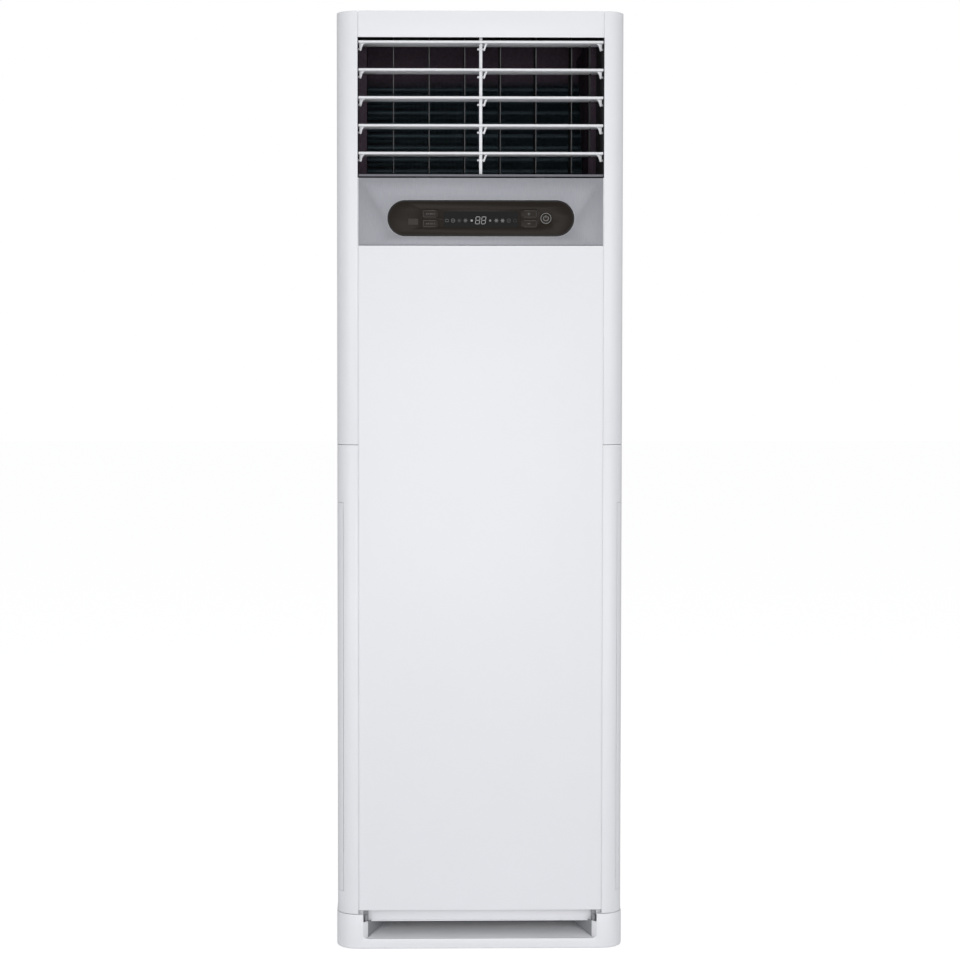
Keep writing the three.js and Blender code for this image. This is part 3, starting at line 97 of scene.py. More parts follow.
GRILLE_LOW, GRILLE_HIGH = 108.0, 843.0
GRILLE_EDGE, GRILLE_BACK = 257.0, 164.5
BLADES = [1687.9, 1636.5, 1585.1, 1533.7, 1482.3]    # pivots, from the top
VANES = [-162.25, -94.95, -27.65, 39.65, 106.95, 174.25]
print("cabinet", 2 * HALF, "wide and", TOP, "high")

# %% [markdown]
# ## Small helpers
#
# A piece starts as a block, a prism or a turned ring, is cut and rounded with bmesh
# operators and modifiers, and is then settled: its modifiers are applied, so that the
# finished mesh sits at the origin with its real size.

# %% Making meshes


def to_object(name, bm):
    """A mesh object from a bmesh in millimetres, with its faces turned outward."""
    bmesh.ops.scale(bm, vec=(MM, MM, MM), verts=bm.verts)
    bmesh.ops.recalc_face_normals(bm, faces=bm.faces)
    return link_mesh(name, bm)


def link_mesh(name, bm):
    """A mesh object in the scene from a bmesh in metres, as it is."""
    mesh = bpy.data.meshes.new(name)
    bm.to_mesh(mesh)
    bm.free()
    made = bpy.data.objects.new(name, mesh)
    bpy.context.scene.collection.objects.link(made)
    return made


def add_block(bm, low, high):
    """A rectangular block between two corners."""
    low, high = Vector(low), Vector(high)
    made = bmesh.ops.create_cube(bm, size=1.0)["verts"]
    bmesh.ops.scale(bm, vec=high - low, verts=made)
    bmesh.ops.translate(bm, vec=(low + high) / 2, verts=made)
    return made


def add_pair(bm, low, high):
    """A block on the right and its mirror image on the left."""
    for side in (-1, 1):
        x0, x1 = sorted((side * low[0], side * high[0]))
        add_block(bm, (x0, *low[1:]), (x1, *high[1:]))


def add_prism(bm, outline, axis, start, end):
    """A closed outline of two coordinates, drawn out along one axis."""
    def at(p, along):
        if axis == "x":
            return (along, p[0], p[1])
        if axis == "y":
            return (p[0], along, p[1])
        return (p[0], p[1], along)
    face = bm.faces.new([bm.verts.new(at(p, start)) for p in outline])
    grown = bmesh.ops.extrude_face_region(bm, geom=[face])["geom"]
    moved = [g for g in grown if isinstance(g, bmesh.types.BMVert)]
    shift = Vector(at((0, 0), end)) - Vector(at((0, 0), start))
    bmesh.ops.translate(bm, vec=shift, verts=moved)
    return moved


def add_rod(bm, radius, start, end, axis, a, b, sides=32, tip=None):
    """A round rod along one axis, about the point (a, b) of the other two."""
    made = bmesh.ops.create_cone(bm, cap_ends=True, segments=sides, radius1=radius,
                                 radius2=radius if tip is None else tip,
                                 depth=end - start)["verts"]
    turn = {"x": Matrix.Rotation(math.pi / 2, 3, "Y"), "z": Matrix.Identity(3),
            "y": Matrix.Rotation(-math.pi / 2, 3, "X")}[axis]
    bmesh.ops.rotate(bm, cent=(0, 0, 0), matrix=turn, verts=made)
    middle = (start + end) / 2
    place_at = {"x": (middle, a, b), "y": (a, middle, b), "z": (a, b, middle)}[axis]
    bmesh.ops.translate(bm, vec=place_at, verts=made)
    return made


def add_ring(bm, profile, centre, steps):
    """A profile of (radius, height) points turned once round an upright axis."""
    verts = [bm.verts.new((r, 0, height)) for r, height in profile]
    edges = [bm.edges.new((verts[i], verts[(i + 1) % len(verts)])) for i in range(len(verts))]
    bmesh.ops.spin(bm, geom=verts + edges, cent=(0, 0, 0), axis=(0, 0, 1),
                   angle=2 * math.pi, steps=steps, use_merge=True)
    ring = list(connected(verts))
    bmesh.ops.translate(bm, vec=centre, verts=ring)
    return ring


def connected(seeds):
    """All vertices joined by edges to the seeds."""
    found, queue = set(seeds), list(seeds)
    while queue:
        for edge in queue.pop().link_edges:
            for v in edge.verts:
                if v not in found:
                    found.add(v)
                    queue.append(v)
    return found


def round_outline(half_w, half_h, radius, cx=0.0, cy=0.0, steps=6):
    """A rectangle with rounded corners, as points."""
    points = []
    for i, (sx, sy) in enumerate([(1, -1), (1, 1), (-1, 1), (-1, -1)]):
        for k in range(steps + 1):
            angle = math.pi / 2 * (i - 1 + k / steps)
            points.append((cx + sx * (half_w - radius) + radius * math.cos(angle),
                           cy + sy * (half_h - radius) + radius * math.sin(angle)))
    return points


def stepped(start, end, pitch):
    """Values from start up to end, one pitch apart."""
    while start < end:
        yield start
        start += pitch


def bevel_where(bm, test, width, segments=3):
    """Rounds the edges for which test(edge) holds."""
    chosen = [e for e in bm.edges if test(e)]
    return bmesh.ops.bevel(bm, geom=chosen, offset=width, offset_type="OFFSET",
                           segments=segments, profile=0.5, material=-1, affect="EDGES",
                           clamp_overlap=True)


def along_axis(edge, axis):
    """Whether an edge runs along x, y or z."""
    a, b = edge.verts[0].co, edge.verts[1].co
    d = (b - a).normalized()
    return abs(d["xyz".index(axis)]) > 0.999


# %% Finishing meshes


def cut(obj, bm, keep=False):
    """Takes a cutter, given as a bmesh in millimetres, out of an object."""
    cutter = to_object(obj.name + "_cutter", bm)
    mod = obj.modifiers.new("cut", "BOOLEAN")
    mod.operation = "INTERSECT" if keep else "DIFFERENCE"
    mod.solver = "EXACT"
    mod.object = cutter
    return settle(obj, cutter)


def settle(obj, *spare):
    """Applies the modifiers of an object and removes its cutters."""
    graph = bpy.context.evaluated_depsgraph_get()
    graph.update()
    mesh = bpy.data.meshes.new_from_object(obj.evaluated_get(graph))
    mesh.name = obj.name
    obj.modifiers.clear()
    obj.data = mesh
    for other in spare:
        bpy.data.objects.remove(other)
    return obj


def soften(obj, width, segments=2, angle=35.0):
    """Rounds every sharp edge of an object a little."""
    mod = obj.modifiers.new("soft edges", "BEVEL")
    mod.width = width * MM
    mod.segments = segments
    mod.limit_method = "ANGLE"
    mod.angle_limit = math.radians(angle)
    mod.use_clamp_overlap = True
    mod.harden_normals = False
    return obj


def smooth(obj, angle=38.0):
    """Smooth shading, kept sharp at real corners."""
    for face in obj.data.polygons:
        face.use_smooth = True
    obj.data.set_sharp_from_angle(angle=math.radians(angle))
    return obj


def paint(obj, mat):
    """Gives a piece one finish."""
    obj.data.materials.clear()
    obj.data.materials.append(mat)
    return obj


def round_off(obj, width, segments=2, angle=38.0):
    """Rounds a piece's edges, settles it and shades it smooth."""
    soften(obj, width, segments)
    return smooth(settle(obj), angle)


def place(obj, body, slot, *nodes):
    """Hands a finished piece to its body, with its material slot and the nodes it stands for."""
    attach(obj, body)
    if nodes:
        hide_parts(*nodes)
    return paint(obj, FINISH[slot])


def add_piece(name, bm, body, slot, *nodes, soft=None, look=None):
    """A placed piece from a bmesh. The pair in soft is its edges' width and segments."""
    obj = to_object(name, bm)
    if soft:
        round_off(obj, *soft)
    else:
        smooth(obj)
    place(obj, body, slot, *nodes)
    return paint(obj, look) if look else obj


# %% [markdown]
# ## Finishes
#
# Each finish is one procedural material on object coordinates: a base colour with a
# slow drift, a roughness that varies a little, and a fine bump for the surface's grain.

# %% A general finish


def add_node(tree, kind, **inputs):
    """A shader node with some of its inputs set."""
    node = tree.nodes.new("ShaderNode" + kind)
    for name, value in inputs.items():
        node.inputs[name.replace("_", " ")].default_value = value
    return node


def wire(tree, *links):
    """Joins sockets. A link is a node and its output, then a node and its input."""
    for source, output, target, socket in links:
        tree.links.new(source.outputs[output], target.inputs[socket])


def empty_tree(owner):
    """The cleared node tree of a material or a world."""
    owner.use_nodes = True
    owner.node_tree.nodes.clear()
    return owner.node_tree


def finish(name, colour, roughness, drift=0.03, grain=900.0, bump=0.02, metallic=0.0,
           coat=0.0, specular=0.5, stretch=(1, 1, 1), spread=0.08, slow=3.0):
    """A material whose colour drifts, with a grain that can be stretched into hairlines."""
    mat = bpy.data.materials.new(name)
    mat.use_nodes = True
    tree = mat.node_tree
    shader = tree.nodes["Principled BSDF"]
    for socket, value in {"Metallic": metallic, "Coat Weight": coat, "Coat Roughness": 0.12,
                          "Specular IOR Level": specular}.items():
        shader.inputs[socket].default_value = value
    where = add_node(tree, "TexCoord")
    scaled = add_node(tree, "Mapping", Scale=stretch)
    broad = add_node(tree, "TexNoise", Scale=slow, Detail=3.0)
    fine = add_node(tree, "TexNoise", Scale=grain, Detail=4.0)
    ramp = add_node(tree, "ValToRGB")
    for stop, sign, position in zip(ramp.color_ramp.elements, (-1, 1), (0.3, 0.7)):
        stop.color = (*[max(0.0, c * (1 + sign * drift)) for c in colour], 1)
        stop.position = position
    half, blend = add_node(tree, "Math"), add_node(tree, "Math")
    half.operation, blend.operation = "MULTIPLY", "MULTIPLY_ADD"
    half.inputs[1].default_value = blend.inputs[1].default_value = 0.5
    rough = add_node(tree, "MapRange", To_Min=max(0.02, roughness - spread),
                     To_Max=min(1.0, roughness + spread))
    relief = add_node(tree, "Bump", Strength=bump, Distance=0.0004)
    wire(tree, (where, "Object", scaled, "Vector"), (where, "Object", broad, "Vector"),
         (scaled, "Vector", fine, "Vector"), (fine, "Fac", half, 0),
         (broad, "Fac", blend, 0), (half, 0, blend, 2), (blend, 0, ramp, "Fac"),
         (ramp, "Color", shader, "Base Color"), (fine, "Fac", rough, "Value"),
         (rough, "Result", shader, "Roughness"), (fine, "Fac", relief, "Height"),
         (relief, "Normal", shader, "Normal"))
    return mat


# %% One finish for each material slot of the record
SHELL_COLOUR = (0.77, 0.775, 0.80)
LOOKS = {     # colour, roughness, drift, grain and bump, then what else is set
    "shell_white": ((SHELL_COLOUR, 0.42, 0.012, 1400, 0.05), dict(coat=0.06)),
    "louvre_white": (((0.74, 0.745, 0.765), 0.40, 0.015, 1200, 0.05), {}),
    "silver_fascia": (((0.270, 0.275, 0.300), 0.42, 0.16, 200, 0.10),
                      dict(metallic=0.30, stretch=(9, 4, 0.35), spread=0.06)),
    "smoked_lens": (((0.0165, 0.0125, 0.0095), 0.30, 0.08, 600, 0.01), dict(specular=0.10)),
    "key_black": (((0.020, 0.0155, 0.012), 0.32, 0.08, 800, 0.02), dict(specular=0.10)),
    "circuit_green": (((0.012, 0.085, 0.04), 0.35, 0.25, 300, 0.05), {}),
    "duct_grey": (((0.030, 0.028, 0.031), 0.75, 0.20, 500, 0.08), dict(specular=0.2)),
    "vane_grey": (((0.014, 0.013, 0.014), 0.7, 0.15, 500, 0.06), dict(specular=0.1)),
    "motor_steel": (((0.42, 0.42, 0.41), 0.34, 0.12, 400, 0.06), dict(metallic=0.9)),
    "galvanised_steel": (((0.52, 0.54, 0.55), 0.42, 0.22, 60, 0.06),
                         dict(metallic=0.75, slow=40.0)),
    "fin_aluminium": (((0.085, 0.13, 0.16), 0.5, 0.20, 300, 0.05),
                      dict(metallic=0.2, stretch=(14, 1, 1))),
    "pipe_copper": (((0.60, 0.24, 0.11), 0.30, 0.15, 300, 0.05), dict(metallic=1.0)),
    "wheel_black": (((0.02, 0.02, 0.022), 0.5, 0.15, 500, 0.06), {}),
    "foot_rubber": (((0.03, 0.03, 0.03), 0.85, 0.20, 700, 0.15), {}),
    "pan_white": (((0.62, 0.63, 0.63), 0.5, 0.03, 900, 0.05), {}),
    "hose_grey": (((0.36, 0.37, 0.38), 0.6, 0.08, 600, 0.08), {}),
    "terminal_black": (((0.03, 0.03, 0.032), 0.45, 0.15, 600, 0.05), {}),
    "filter_screen": (((0.05, 0.055, 0.06), 0.7, 0.15, 900, 0.10), {}),
}
FINISH = {slot: finish(slot, *look, **more) for slot, (look, more) in LOOKS.items()}
for material in frame["record"]["materials"]:
    if material["slot"] not in FINISH:
        print("no finish for", material["slot"])
print("finishes:", len(FINISH))

# %% Extra finishes for prints, inner parts and painted light and shade
PRINT = finish("print_grey", (0.085, 0.082, 0.078), 0.5, 0.10, 900, 0.02)
PRINT_PALE = finish("print_pale", (0.17, 0.17, 0.17), 0.5, 0.06, 900, 0.02, specular=0.1)
DIGIT_GREY = finish("digit_grey", (0.40, 0.40, 0.40), 0.5, 0.05, 900, 0.02, specular=0.1)
SIGN_GREY = finish("sign_grey", (0.30, 0.30, 0.30), 0.5, 0.05, 900, 0.02, specular=0.1)
WINDOW = finish("display_window", (0.0055, 0.0052, 0.0050), 0.30, 0.10, 500, 0.01,
                specular=0.08)
# Painted shade: a dark bluish ring for the lens's bevelled edge.
RIM_PAINTED_SHADE = finish("lens_rim_painted_shade", (0.016, 0.0165, 0.019), 0.3, 0.10, 500, 0.01, specular=0.15)
# Painted highlight: a paler metallic grey for the flat ring round the lens opening.
BEVEL_PAINTED_HIGHLIGHT = finish("lens_bevel_painted_highlight", (0.34, 0.34, 0.35), 0.3, 0.05, 500, 0.02, metallic=0.4)
SCREW = finish("screw_steel", (0.55, 0.55, 0.54), 0.28, 0.08, 500, 0.04, metallic=1.0)
# Painted shade: near black for the cross recesses of the screw heads.
CROSS_PAINTED_SHADE = finish("cross_painted_shade", (0.02, 0.02, 0.02), 0.8, 0.10, 500, 0.02)
VANE_EDGE = finish("vane_edge", (0.13, 0.13, 0.135), 0.5, 0.10, 600, 0.03, specular=0.2)
SILL = finish("sill_grey", (0.16, 0.16, 0.18), 0.45, 0.06, 600, 0.03, specular=0.2)
# Painted shade: grey for the inlet's white cheeks.
CHEEK_PAINTED_SHADE = finish("cheek_painted_shade", (0.26, 0.265, 0.28), 0.5, 0.05, 900, 0.03, specular=0.2)
# Painted shade: grey for the white end blocks and clips in the recesses at the bar's ends.
CLIP_PAINTED_SHADE = finish("clip_painted_shade", (0.30, 0.305, 0.32), 0.5, 0.05, 900, 0.03, specular=0.2)
FOAM = finish("liner_foam", (0.12, 0.090, 0.118), 0.95, 0.25, 250, 0.30, specular=0.05)


# %% Finishes of the CAD nodes that stay in view
SLOT_OF = {}
for name, node in frame["nodes"].items():
    if node.data.materials:
        slot_name = node.data.materials[0].name.split(".")[0]
        if slot_name in FINISH:
            SLOT_OF[name] = slot_name
            node.data.materials[0] = FINISH[slot_name]
print("CAD nodes with a finish:", len(SLOT_OF), "of", len(frame["nodes"]))

# %% [markdown]
# ## Side panels
#
# Each side is one bent sheet: a front pillar with a large rounded corner, the side and a
# fold behind. The outline is drawn once, drawn up along Z and thickened inward. The upper
# panel also closes the top above itself.

# %% The sheet's outline


def side_outline(inner_fold=5.0, steps=14):
    """The open outline of one side, from the pillar's inner edge to the rear fold."""
    points = [(PILLAR, FRONT + inner_fold), (PILLAR, FRONT)]
    for k in range(steps + 1):
        angle = -math.pi / 2 + math.pi / 2 * k / steps
        points.append((HALF - CORNER + CORNER * math.cos(angle),
                       FRONT + CORNER + CORNER * math.sin(angle)))
    for k in range(5):
        angle = math.pi / 2 * k / 4
        points.append((HALF - FOLD + FOLD * math.cos(angle),
                       BACK - FOLD + FOLD * math.sin(angle)))
    points.append((255.0, BACK))
    return points


def side_sheet(name, side, low, high):
    """One side panel as a closed sheet of even thickness."""
    outer = [(side * x, y) for x, y in side_outline()]
    inner = inset_line(outer, side)
    bm = bmesh.new()
    add_prism(bm, outer + inner[::-1], "z", low, high)
    return to_object(name, bm)


def inset_line(points, side):
    """The same open line drawn SHEET further in."""
    moved = []
    for i, p in enumerate(points):
        before = Vector(points[max(i - 1, 0)])
        after = Vector(points[min(i + 1, len(points) - 1)])
        here = Vector(p)
        sides = []
        if (here - before).length > 1e-6:
            sides.append((here - before).normalized())
        if (after - here).length > 1e-6:
            sides.append((after - here).normalized())
        normals = [Vector((-d.y, d.x)) * side for d in sides]
        if len(normals) == 1:
            moved.append(tuple(here + normals[0] * SHEET))
        else:
            mean = (normals[0] + normals[1]).normalized()
            moved.append(tuple(here + mean * (SHEET / max(0.3, mean.dot(normals[0])))))
    return moved


print("side outline points:", len(side_outline()))

# %% [markdown]
# The lower panel has a tall window in its side for the lift-off grille. The grille is the
# same bent sheet, kept only inside that window, with rows of upright slots.

# %% Upper and lower side panels


def capped_side(name, side, low, high):
    """A side panel that also closes the top: an open skin, thickened inward."""
    line = [(side * x, y) for x, y in side_outline(0.0)[1:]]
    bm = bmesh.new()
    foot = [bm.verts.new((x, y, low)) for x, y in line]
    head = [bm.verts.new((x, y, high)) for x, y in line]
    for a, b, c, d in zip(foot, foot[1:], head[1:], head):
        bm.faces.new((a, b, c, d))
    corner = bm.verts.new((side * PILLAR, BACK, high))
    bm.faces.new(head + [corner])
    bmesh.ops.recalc_face_normals(bm, faces=bm.faces)
    bm.normal_update()
    lid = max(bm.faces, key=lambda f: f.calc_center_median().z)
    if lid.normal.z < 0:
        bmesh.ops.reverse_faces(bm, faces=list(bm.faces))
    bmesh.ops.scale(bm, vec=(MM, MM, MM), verts=bm.verts)
    obj = link_mesh(name, bm)
    mod = obj.modifiers.new("sheet", "SOLIDIFY")
    mod.thickness = SHEET * MM
    mod.offset = -1.0
    mod.use_even_offset = True
    return obj


for hand, side in HANDS.items():
    upper = capped_side(f"side_upper_{hand}", side, SPLIT + SIDE_GAP, TOP)
    round_off(settle(upper), 0.7)
    place(upper, "cabinet", "shell_white", f"upper_side_{hand}")

    lower = side_sheet(f"side_lower_{hand}", side, SIDE_FOOT, SPLIT - SIDE_GAP)
    hole = bmesh.new()
    x0, x1 = sorted((side * GRILLE_EDGE, side * 300.0))
    add_block(hole, (x0, -250.0, GRILLE_LOW), (x1, GRILLE_BACK, GRILLE_HIGH))
    cut(lower, hole)
    round_off(lower, 0.6)
    place(lower, "cabinet", "shell_white", f"lower_side_{hand}")
    print(hand, "side panels:", len(upper.data.polygons), len(lower.data.polygons), "faces")

# %% [markdown]
# ## Side grilles and their filters
#
# Forty-eight upright slots with round ends, in eight columns and six rows.

# %% Slots of a grille


def slot_cutters(side):
    """Upright round-ended slots through one side."""
    bm = bmesh.new()
    bay = (GRILLE_HIGH - GRILLE_LOW) / 6
    x0, x1 = sorted((side * (HALF - 6), side * (HALF + 3)))
    for row in range(6):
        middle = GRILLE_LOW + (row + 0.5) * bay
        for column in range(8):
            y = 2.25 + (column - 3.5) * 38.0
            outline = round_outline(8.0, bay / 2 - 7.0, 6.0, y, middle, 5)
            add_prism(bm, outline, "x", x0, x1)
    return bm


for hand, side in HANDS.items():
    grille = side_sheet(f"grille_{hand}_skin", side, SIDE_FOOT, SPLIT - SIDE_GAP)
    window = bmesh.new()
    x0, x1 = sorted((side * (GRILLE_EDGE + 0.4), side * 300.0))
    add_block(window, (x0, -250.0, GRILLE_LOW + 0.4), (x1, GRILLE_BACK - 0.4, GRILLE_HIGH - 0.4))
    cut(grille, window, keep=True)
    cut(grille, slot_cutters(side))
    round_off(grille, 0.5)
    place(grille, f"grille_{hand}", "shell_white", f"side_grille_{hand}")
    print(hand, "grille:", len(grille.data.polygons), "faces")

# %% [markdown]
# A filter is a thin frame with cross bars over a woven screen. The weave is real: two sets
# of flat threads that cross.

# %% Filters
for hand in HANDS:
    low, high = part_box(f"filter_{hand}")
    low, high = low / MM, high / MM
    bm = bmesh.new()
    x0, x1 = low.x, high.x
    mid = (x0 + x1) / 2
    border = 8.0
    add_block(bm, (x0, low.y, low.z), (x1, low.y + border, high.z))
    add_block(bm, (x0, high.y - border, low.z), (x1, high.y, high.z))
    rows = 6
    for row in range(rows + 1):
        z = low.z + (high.z - low.z - border) * row / rows
        add_block(bm, (x0 + 0.05, low.y + border - 1, z),
                  (x1 - 0.05, high.y - border + 1, z + border))
    for column in range(1, 4):
        y = low.y + (high.y - low.y) * column / 4
        add_block(bm, (x0 + 0.6, y - 2, low.z + 2), (x1 - 0.6, y + 2, high.z - 2))
    add_piece(f"filter_{hand}_frame", bm, f"grille_{hand}", "filter_screen", f"filter_{hand}",
              soft=(0.5, 2))
    weave = bmesh.new()
    pitch = 5.0
    for y in stepped(low.y + border, high.y - border, pitch):
        add_block(weave, (mid - 0.25, y, low.z + 4), (mid + 0.05, y + 0.7, high.z - 4))
    for z in stepped(low.z + border, high.z - border, pitch):
        add_block(weave, (mid - 0.05, low.y + 4, z), (mid + 0.25, high.y - 4, z + 0.7))
    screen = to_object(f"filter_{hand}_screen", weave)
    place(screen, f"grille_{hand}", "filter_screen")
    print(hand, "filter screen threads:", len(screen.data.polygons) // 6)

# %% [markdown]
# ## Top cover
#
# A folded sheet: the apron in front, the top, and a thin bright lip that turns under the
# apron and catches the light above the opening.

# %% Top cover
bm = bmesh.new()
APRON = 1708.2
section = [(FRONT, APRON), (FRONT + 3.0, APRON), (FRONT + 3.0, APRON + 2.2),
           (FRONT + SHEET, APRON + 2.2), (FRONT + SHEET, TOP - SHEET), (BACK, TOP - SHEET),
           (BACK, TOP), (FRONT, TOP)]
add_prism(bm, section, "x", -CENTRE, CENTRE)
cover = add_piece("top_shell", bm, "cabinet", "shell_white", "top_cover", soft=(0.8, 3))
print("top cover:", len(cover.data.polygons), "faces")

# %% Seam strips between the pillars and the panels
bm = bmesh.new()
for z0, z1 in ((74.0, 1449.0), (1708.5, 1755.0)):
    add_pair(bm, (CENTRE + 0.1, FRONT + 1.3, z0), (PILLAR - 0.1, FRONT + 6.5, z1))
add_piece("seam_strips", bm, "cabinet", "shell_white")
print("seam strips: 4")

# %% [markdown]
# ## Front panel and display panel
#
# Both are shallow trays that open to the back. A tray is a block whose back face is inset
# and pushed in, so that its walls are one sheet thick.

# %% Trays


def tray(name, foot, head, edge):
    """A tray between the pillars that opens towards +Y, with rounded front edges."""
    bm = bmesh.new()
    add_block(bm, (-CENTRE, FRONT, foot), (CENTRE, FRONT + TRAY_DEEP, head))
    bm.faces.ensure_lookup_table()
    back = max(bm.faces, key=lambda f: f.calc_center_median().y)
    bmesh.ops.inset_region(bm, faces=[back], thickness=SHEET, use_even_offset=True)
    back = max(bm.faces, key=lambda f: (round(f.calc_center_median().y, 3), f.calc_area()))
    bmesh.ops.translate(bm, vec=(0, SHEET - TRAY_DEEP, 0), verts=back.verts)
    obj = to_object(name, bm)
    soften(obj, edge, 3)
    return obj


panel = tray("front_skin", PANEL_FOOT, PANEL_HEAD, 0.7)
smooth(settle(panel))
place(panel, "front_panel", "shell_white", "front_panel")
SHELF_BACK = -158.3   # where the hooks and the display panel's shelf end behind
hooks = bmesh.new()
add_pair(hooks, (138.0, FRONT + 1.0, 1308.9), (162.0, SHELF_BACK, 1310.9))
for x in (141.0, 157.0):
    add_pair(hooks, (x, FRONT + 1.2, 1294.0), (x + 2.0, FRONT + 10.0, 1309.2))
add_piece("front_panel_hooks", hooks, "front_panel", "shell_white", soft=(0.4, 2))
ribs = bmesh.new()
for z in (300.0, 560.0, 820.0, 1080.0):
    add_block(ribs, (-CENTRE + 1.5, FRONT + 1.5, z), (CENTRE - 1.5, FRONT + 7.0, z + 1.6))
add_piece("front_panel_ribs", ribs, "front_panel", "shell_white", soft=(0.3, 2))
print("front panel:", len(panel.data.polygons), "faces")

# %% [markdown]
# The silver panel above has a long pill-shaped opening. Round it lies a thin flat ring with
# a paler finish: a painted highlight of the opening's bevelled edge, seen as a thin line round
# the lens.

# %% Display panel
LENS_HALF = 174.0     # half the lens's length
LENS_RADIUS = 33.5


def pill_outline(grow, steps=24):
    """The lens outline, larger by some distance."""
    radius = LENS_RADIUS + grow
    reach = LENS_HALF - LENS_RADIUS
    points = []
    for side, start in ((1, -math.pi / 2), (-1, math.pi / 2)):
        for k in range(steps + 1):
            angle = start + math.pi * k / steps
            points.append((side * reach + radius * math.cos(angle),
                           LENS_Z + radius * math.sin(angle)))
    return points


fascia = tray("display_fascia", FASCIA_FOOT, FASCIA_HEAD, 0.5)
settle(fascia)
hole = bmesh.new()
add_prism(hole, pill_outline(0.35), "y", FRONT - 5, FRONT + 30)
cut(fascia, hole)
round_off(fascia, 0.35)
place(fascia, "cabinet", "silver_fascia", "display_panel")
shelf = bmesh.new()
add_block(shelf, (2.2 - CENTRE, FRONT + 2.2, FASCIA_FOOT + 0.2),
          (CENTRE - 2.2, SHELF_BACK, FASCIA_FOOT + 2.0))
add_piece("display_shelf", shelf, "cabinet", "silver_fascia", soft=(0.4, 2))
print("display panel:", len(fascia.data.polygons), "faces")

# %% Painted highlight of the bevel round the lens


def pill_ring(name, outer, inner, y0, y1, mat, slot):
    """A flat ring that follows the lens outline."""
    bm = bmesh.new()
    loops = []
    for grow, y in ((outer, y1), (outer, y0), (inner, y0), (inner, y1)):
        loops.append([bm.verts.new((x, y, z)) for x, z in pill_outline(grow)])
    count = len(loops[0])
    for a in range(4):
        b = (a + 1) % 4
        for i in range(count):
            j = (i + 1) % count
            bm.faces.new((loops[a][i], loops[a][j], loops[b][j], loops[b][i]))
    return add_piece(name, bm, "cabinet", slot, soft=(0.12, 1), look=mat)


# The paler ring is a painted highlight of the opening's bevelled edge.
pill_ring("lens_painted_highlight_ring", 1.1, 0.3, FRONT - 0.15, FRONT + 1.4, BEVEL_PAINTED_HIGHLIGHT, "silver_fascia")
print("lens halo made")

# %% [markdown]
# ## Lens, keys and their printed marks
#
# The lens is a smoked pill with cut-outs for five keys. Marks are printed on the keys: a
# fine outline at one end of each, word-like dashes, a plus and a minus, and a power sign.

# %% Lens
KEYS = {"key_mode": (-93.6, 1382.6), "key_fan_speed": (-93.6, 1364.4),
        "key_up": (89.2, 1382.6), "key_down": (89.2, 1364.4)}
POWER = (121.2, LENS_Z)
POWER_RADIUS = 10.4
KEY_HALF = (14.5, 7.1)     # half a key's width and height
KEY_GAP = 0.2
KEY_BACK = -193.5
LENS_Y = -199.0            # front of the lens and the keys
LENS_BACK = -195.6
bm = bmesh.new()
add_prism(bm, pill_outline(0.0), "y", LENS_Y, LENS_BACK)
flange = bmesh.new()
add_prism(flange, pill_outline(3.0), "y", LENS_BACK - 0.5, LENS_BACK + 0.9)
lens = to_object("lens_pill", bm)
lens_flange = to_object("lens_flange", flange)
mod = lens.modifiers.new("flange", "BOOLEAN")
mod.operation = "UNION"
mod.solver = "EXACT"
mod.object = lens_flange
settle(lens, lens_flange)
for x, z in KEYS.values():
    hole = bmesh.new()
    add_prism(hole, round_outline(*[h + KEY_GAP for h in KEY_HALF], 2.7, x, z), "y", -202, -190)
    cut(lens, hole)
hole = bmesh.new()
add_rod(hole, POWER_RADIUS + KEY_GAP, -202, -190, "y", *POWER, 48)
cut(lens, hole)
round_off(lens, 0.35)
place(lens, "cabinet", "smoked_lens", "display_lens")
posts = bmesh.new()
low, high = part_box("display_lens")
for sx in (-1, 1):
    for sz in (-1, 1):
        add_rod(posts, 3.0, -195.0, high.y / MM, "y", sx * 130.0, LENS_Z + sz * 18.0, 20)
add_piece("lens_posts", posts, "cabinet", "smoked_lens")
print("lens:", len(lens.data.polygons), "faces")

# %% Keys
for name, (x, z) in KEYS.items():
    bm = bmesh.new()
    add_prism(bm, round_outline(*KEY_HALF, 2.5, x, z), "y", LENS_Y, KEY_BACK)
    add_piece(name + "_cap", bm, name, "key_black", name, soft=(0.4, 3))
bm = bmesh.new()
add_rod(bm, POWER_RADIUS, LENS_Y, KEY_BACK, "y", *POWER, 56)
add_piece("key_power_cap", bm, "key_power", "key_black", "key_power", soft=(0.4, 3))
print("keys: 5")

# %% [markdown]
# Each print is a thin solid let into the face. It stands out by less than a tenth of a
# millimetre, so that it stays behind the base, which is the part's foremost line.

# %% Thin prints
PRINT_DEEP = 0.35     # how far a print reaches into the face
PRINT_DROP = 1.1      # the keys' prints sit a little below their middles


def print_bm(bm, name, body, mat, slot="key_black"):
    """A print, or another flat mark, with a finish of its own."""
    return paint(place(to_object(name, bm), body, slot), mat)


def stroke(bm, points, width, y=LENS_Y, proud=0.06):
    """A line of flat blocks along a path on the face."""
    for (x0, z0), (x1, z1) in zip(points, points[1:]):
        a, b = Vector((x0, z0)), Vector((x1, z1))
        d = (b - a).normalized()
        n = Vector((-d.y, d.x)) * width / 2
        e = d * width * 0.12
        ring = [a - n - e, b - n + e, b + n + e, a + n - e]
        add_prism(bm, [tuple(p) for p in ring], "y", y - proud, y + PRINT_DEEP)


def arc_points(cx, cz, radius, start, end, steps=20):
    """Points of an arc on the face, angles in degrees."""
    points = []
    for k in range(steps + 1):
        angle = math.radians(start + (end - start) * k / steps)
        points.append((cx + radius * math.cos(angle), cz + radius * math.sin(angle)))
    return points


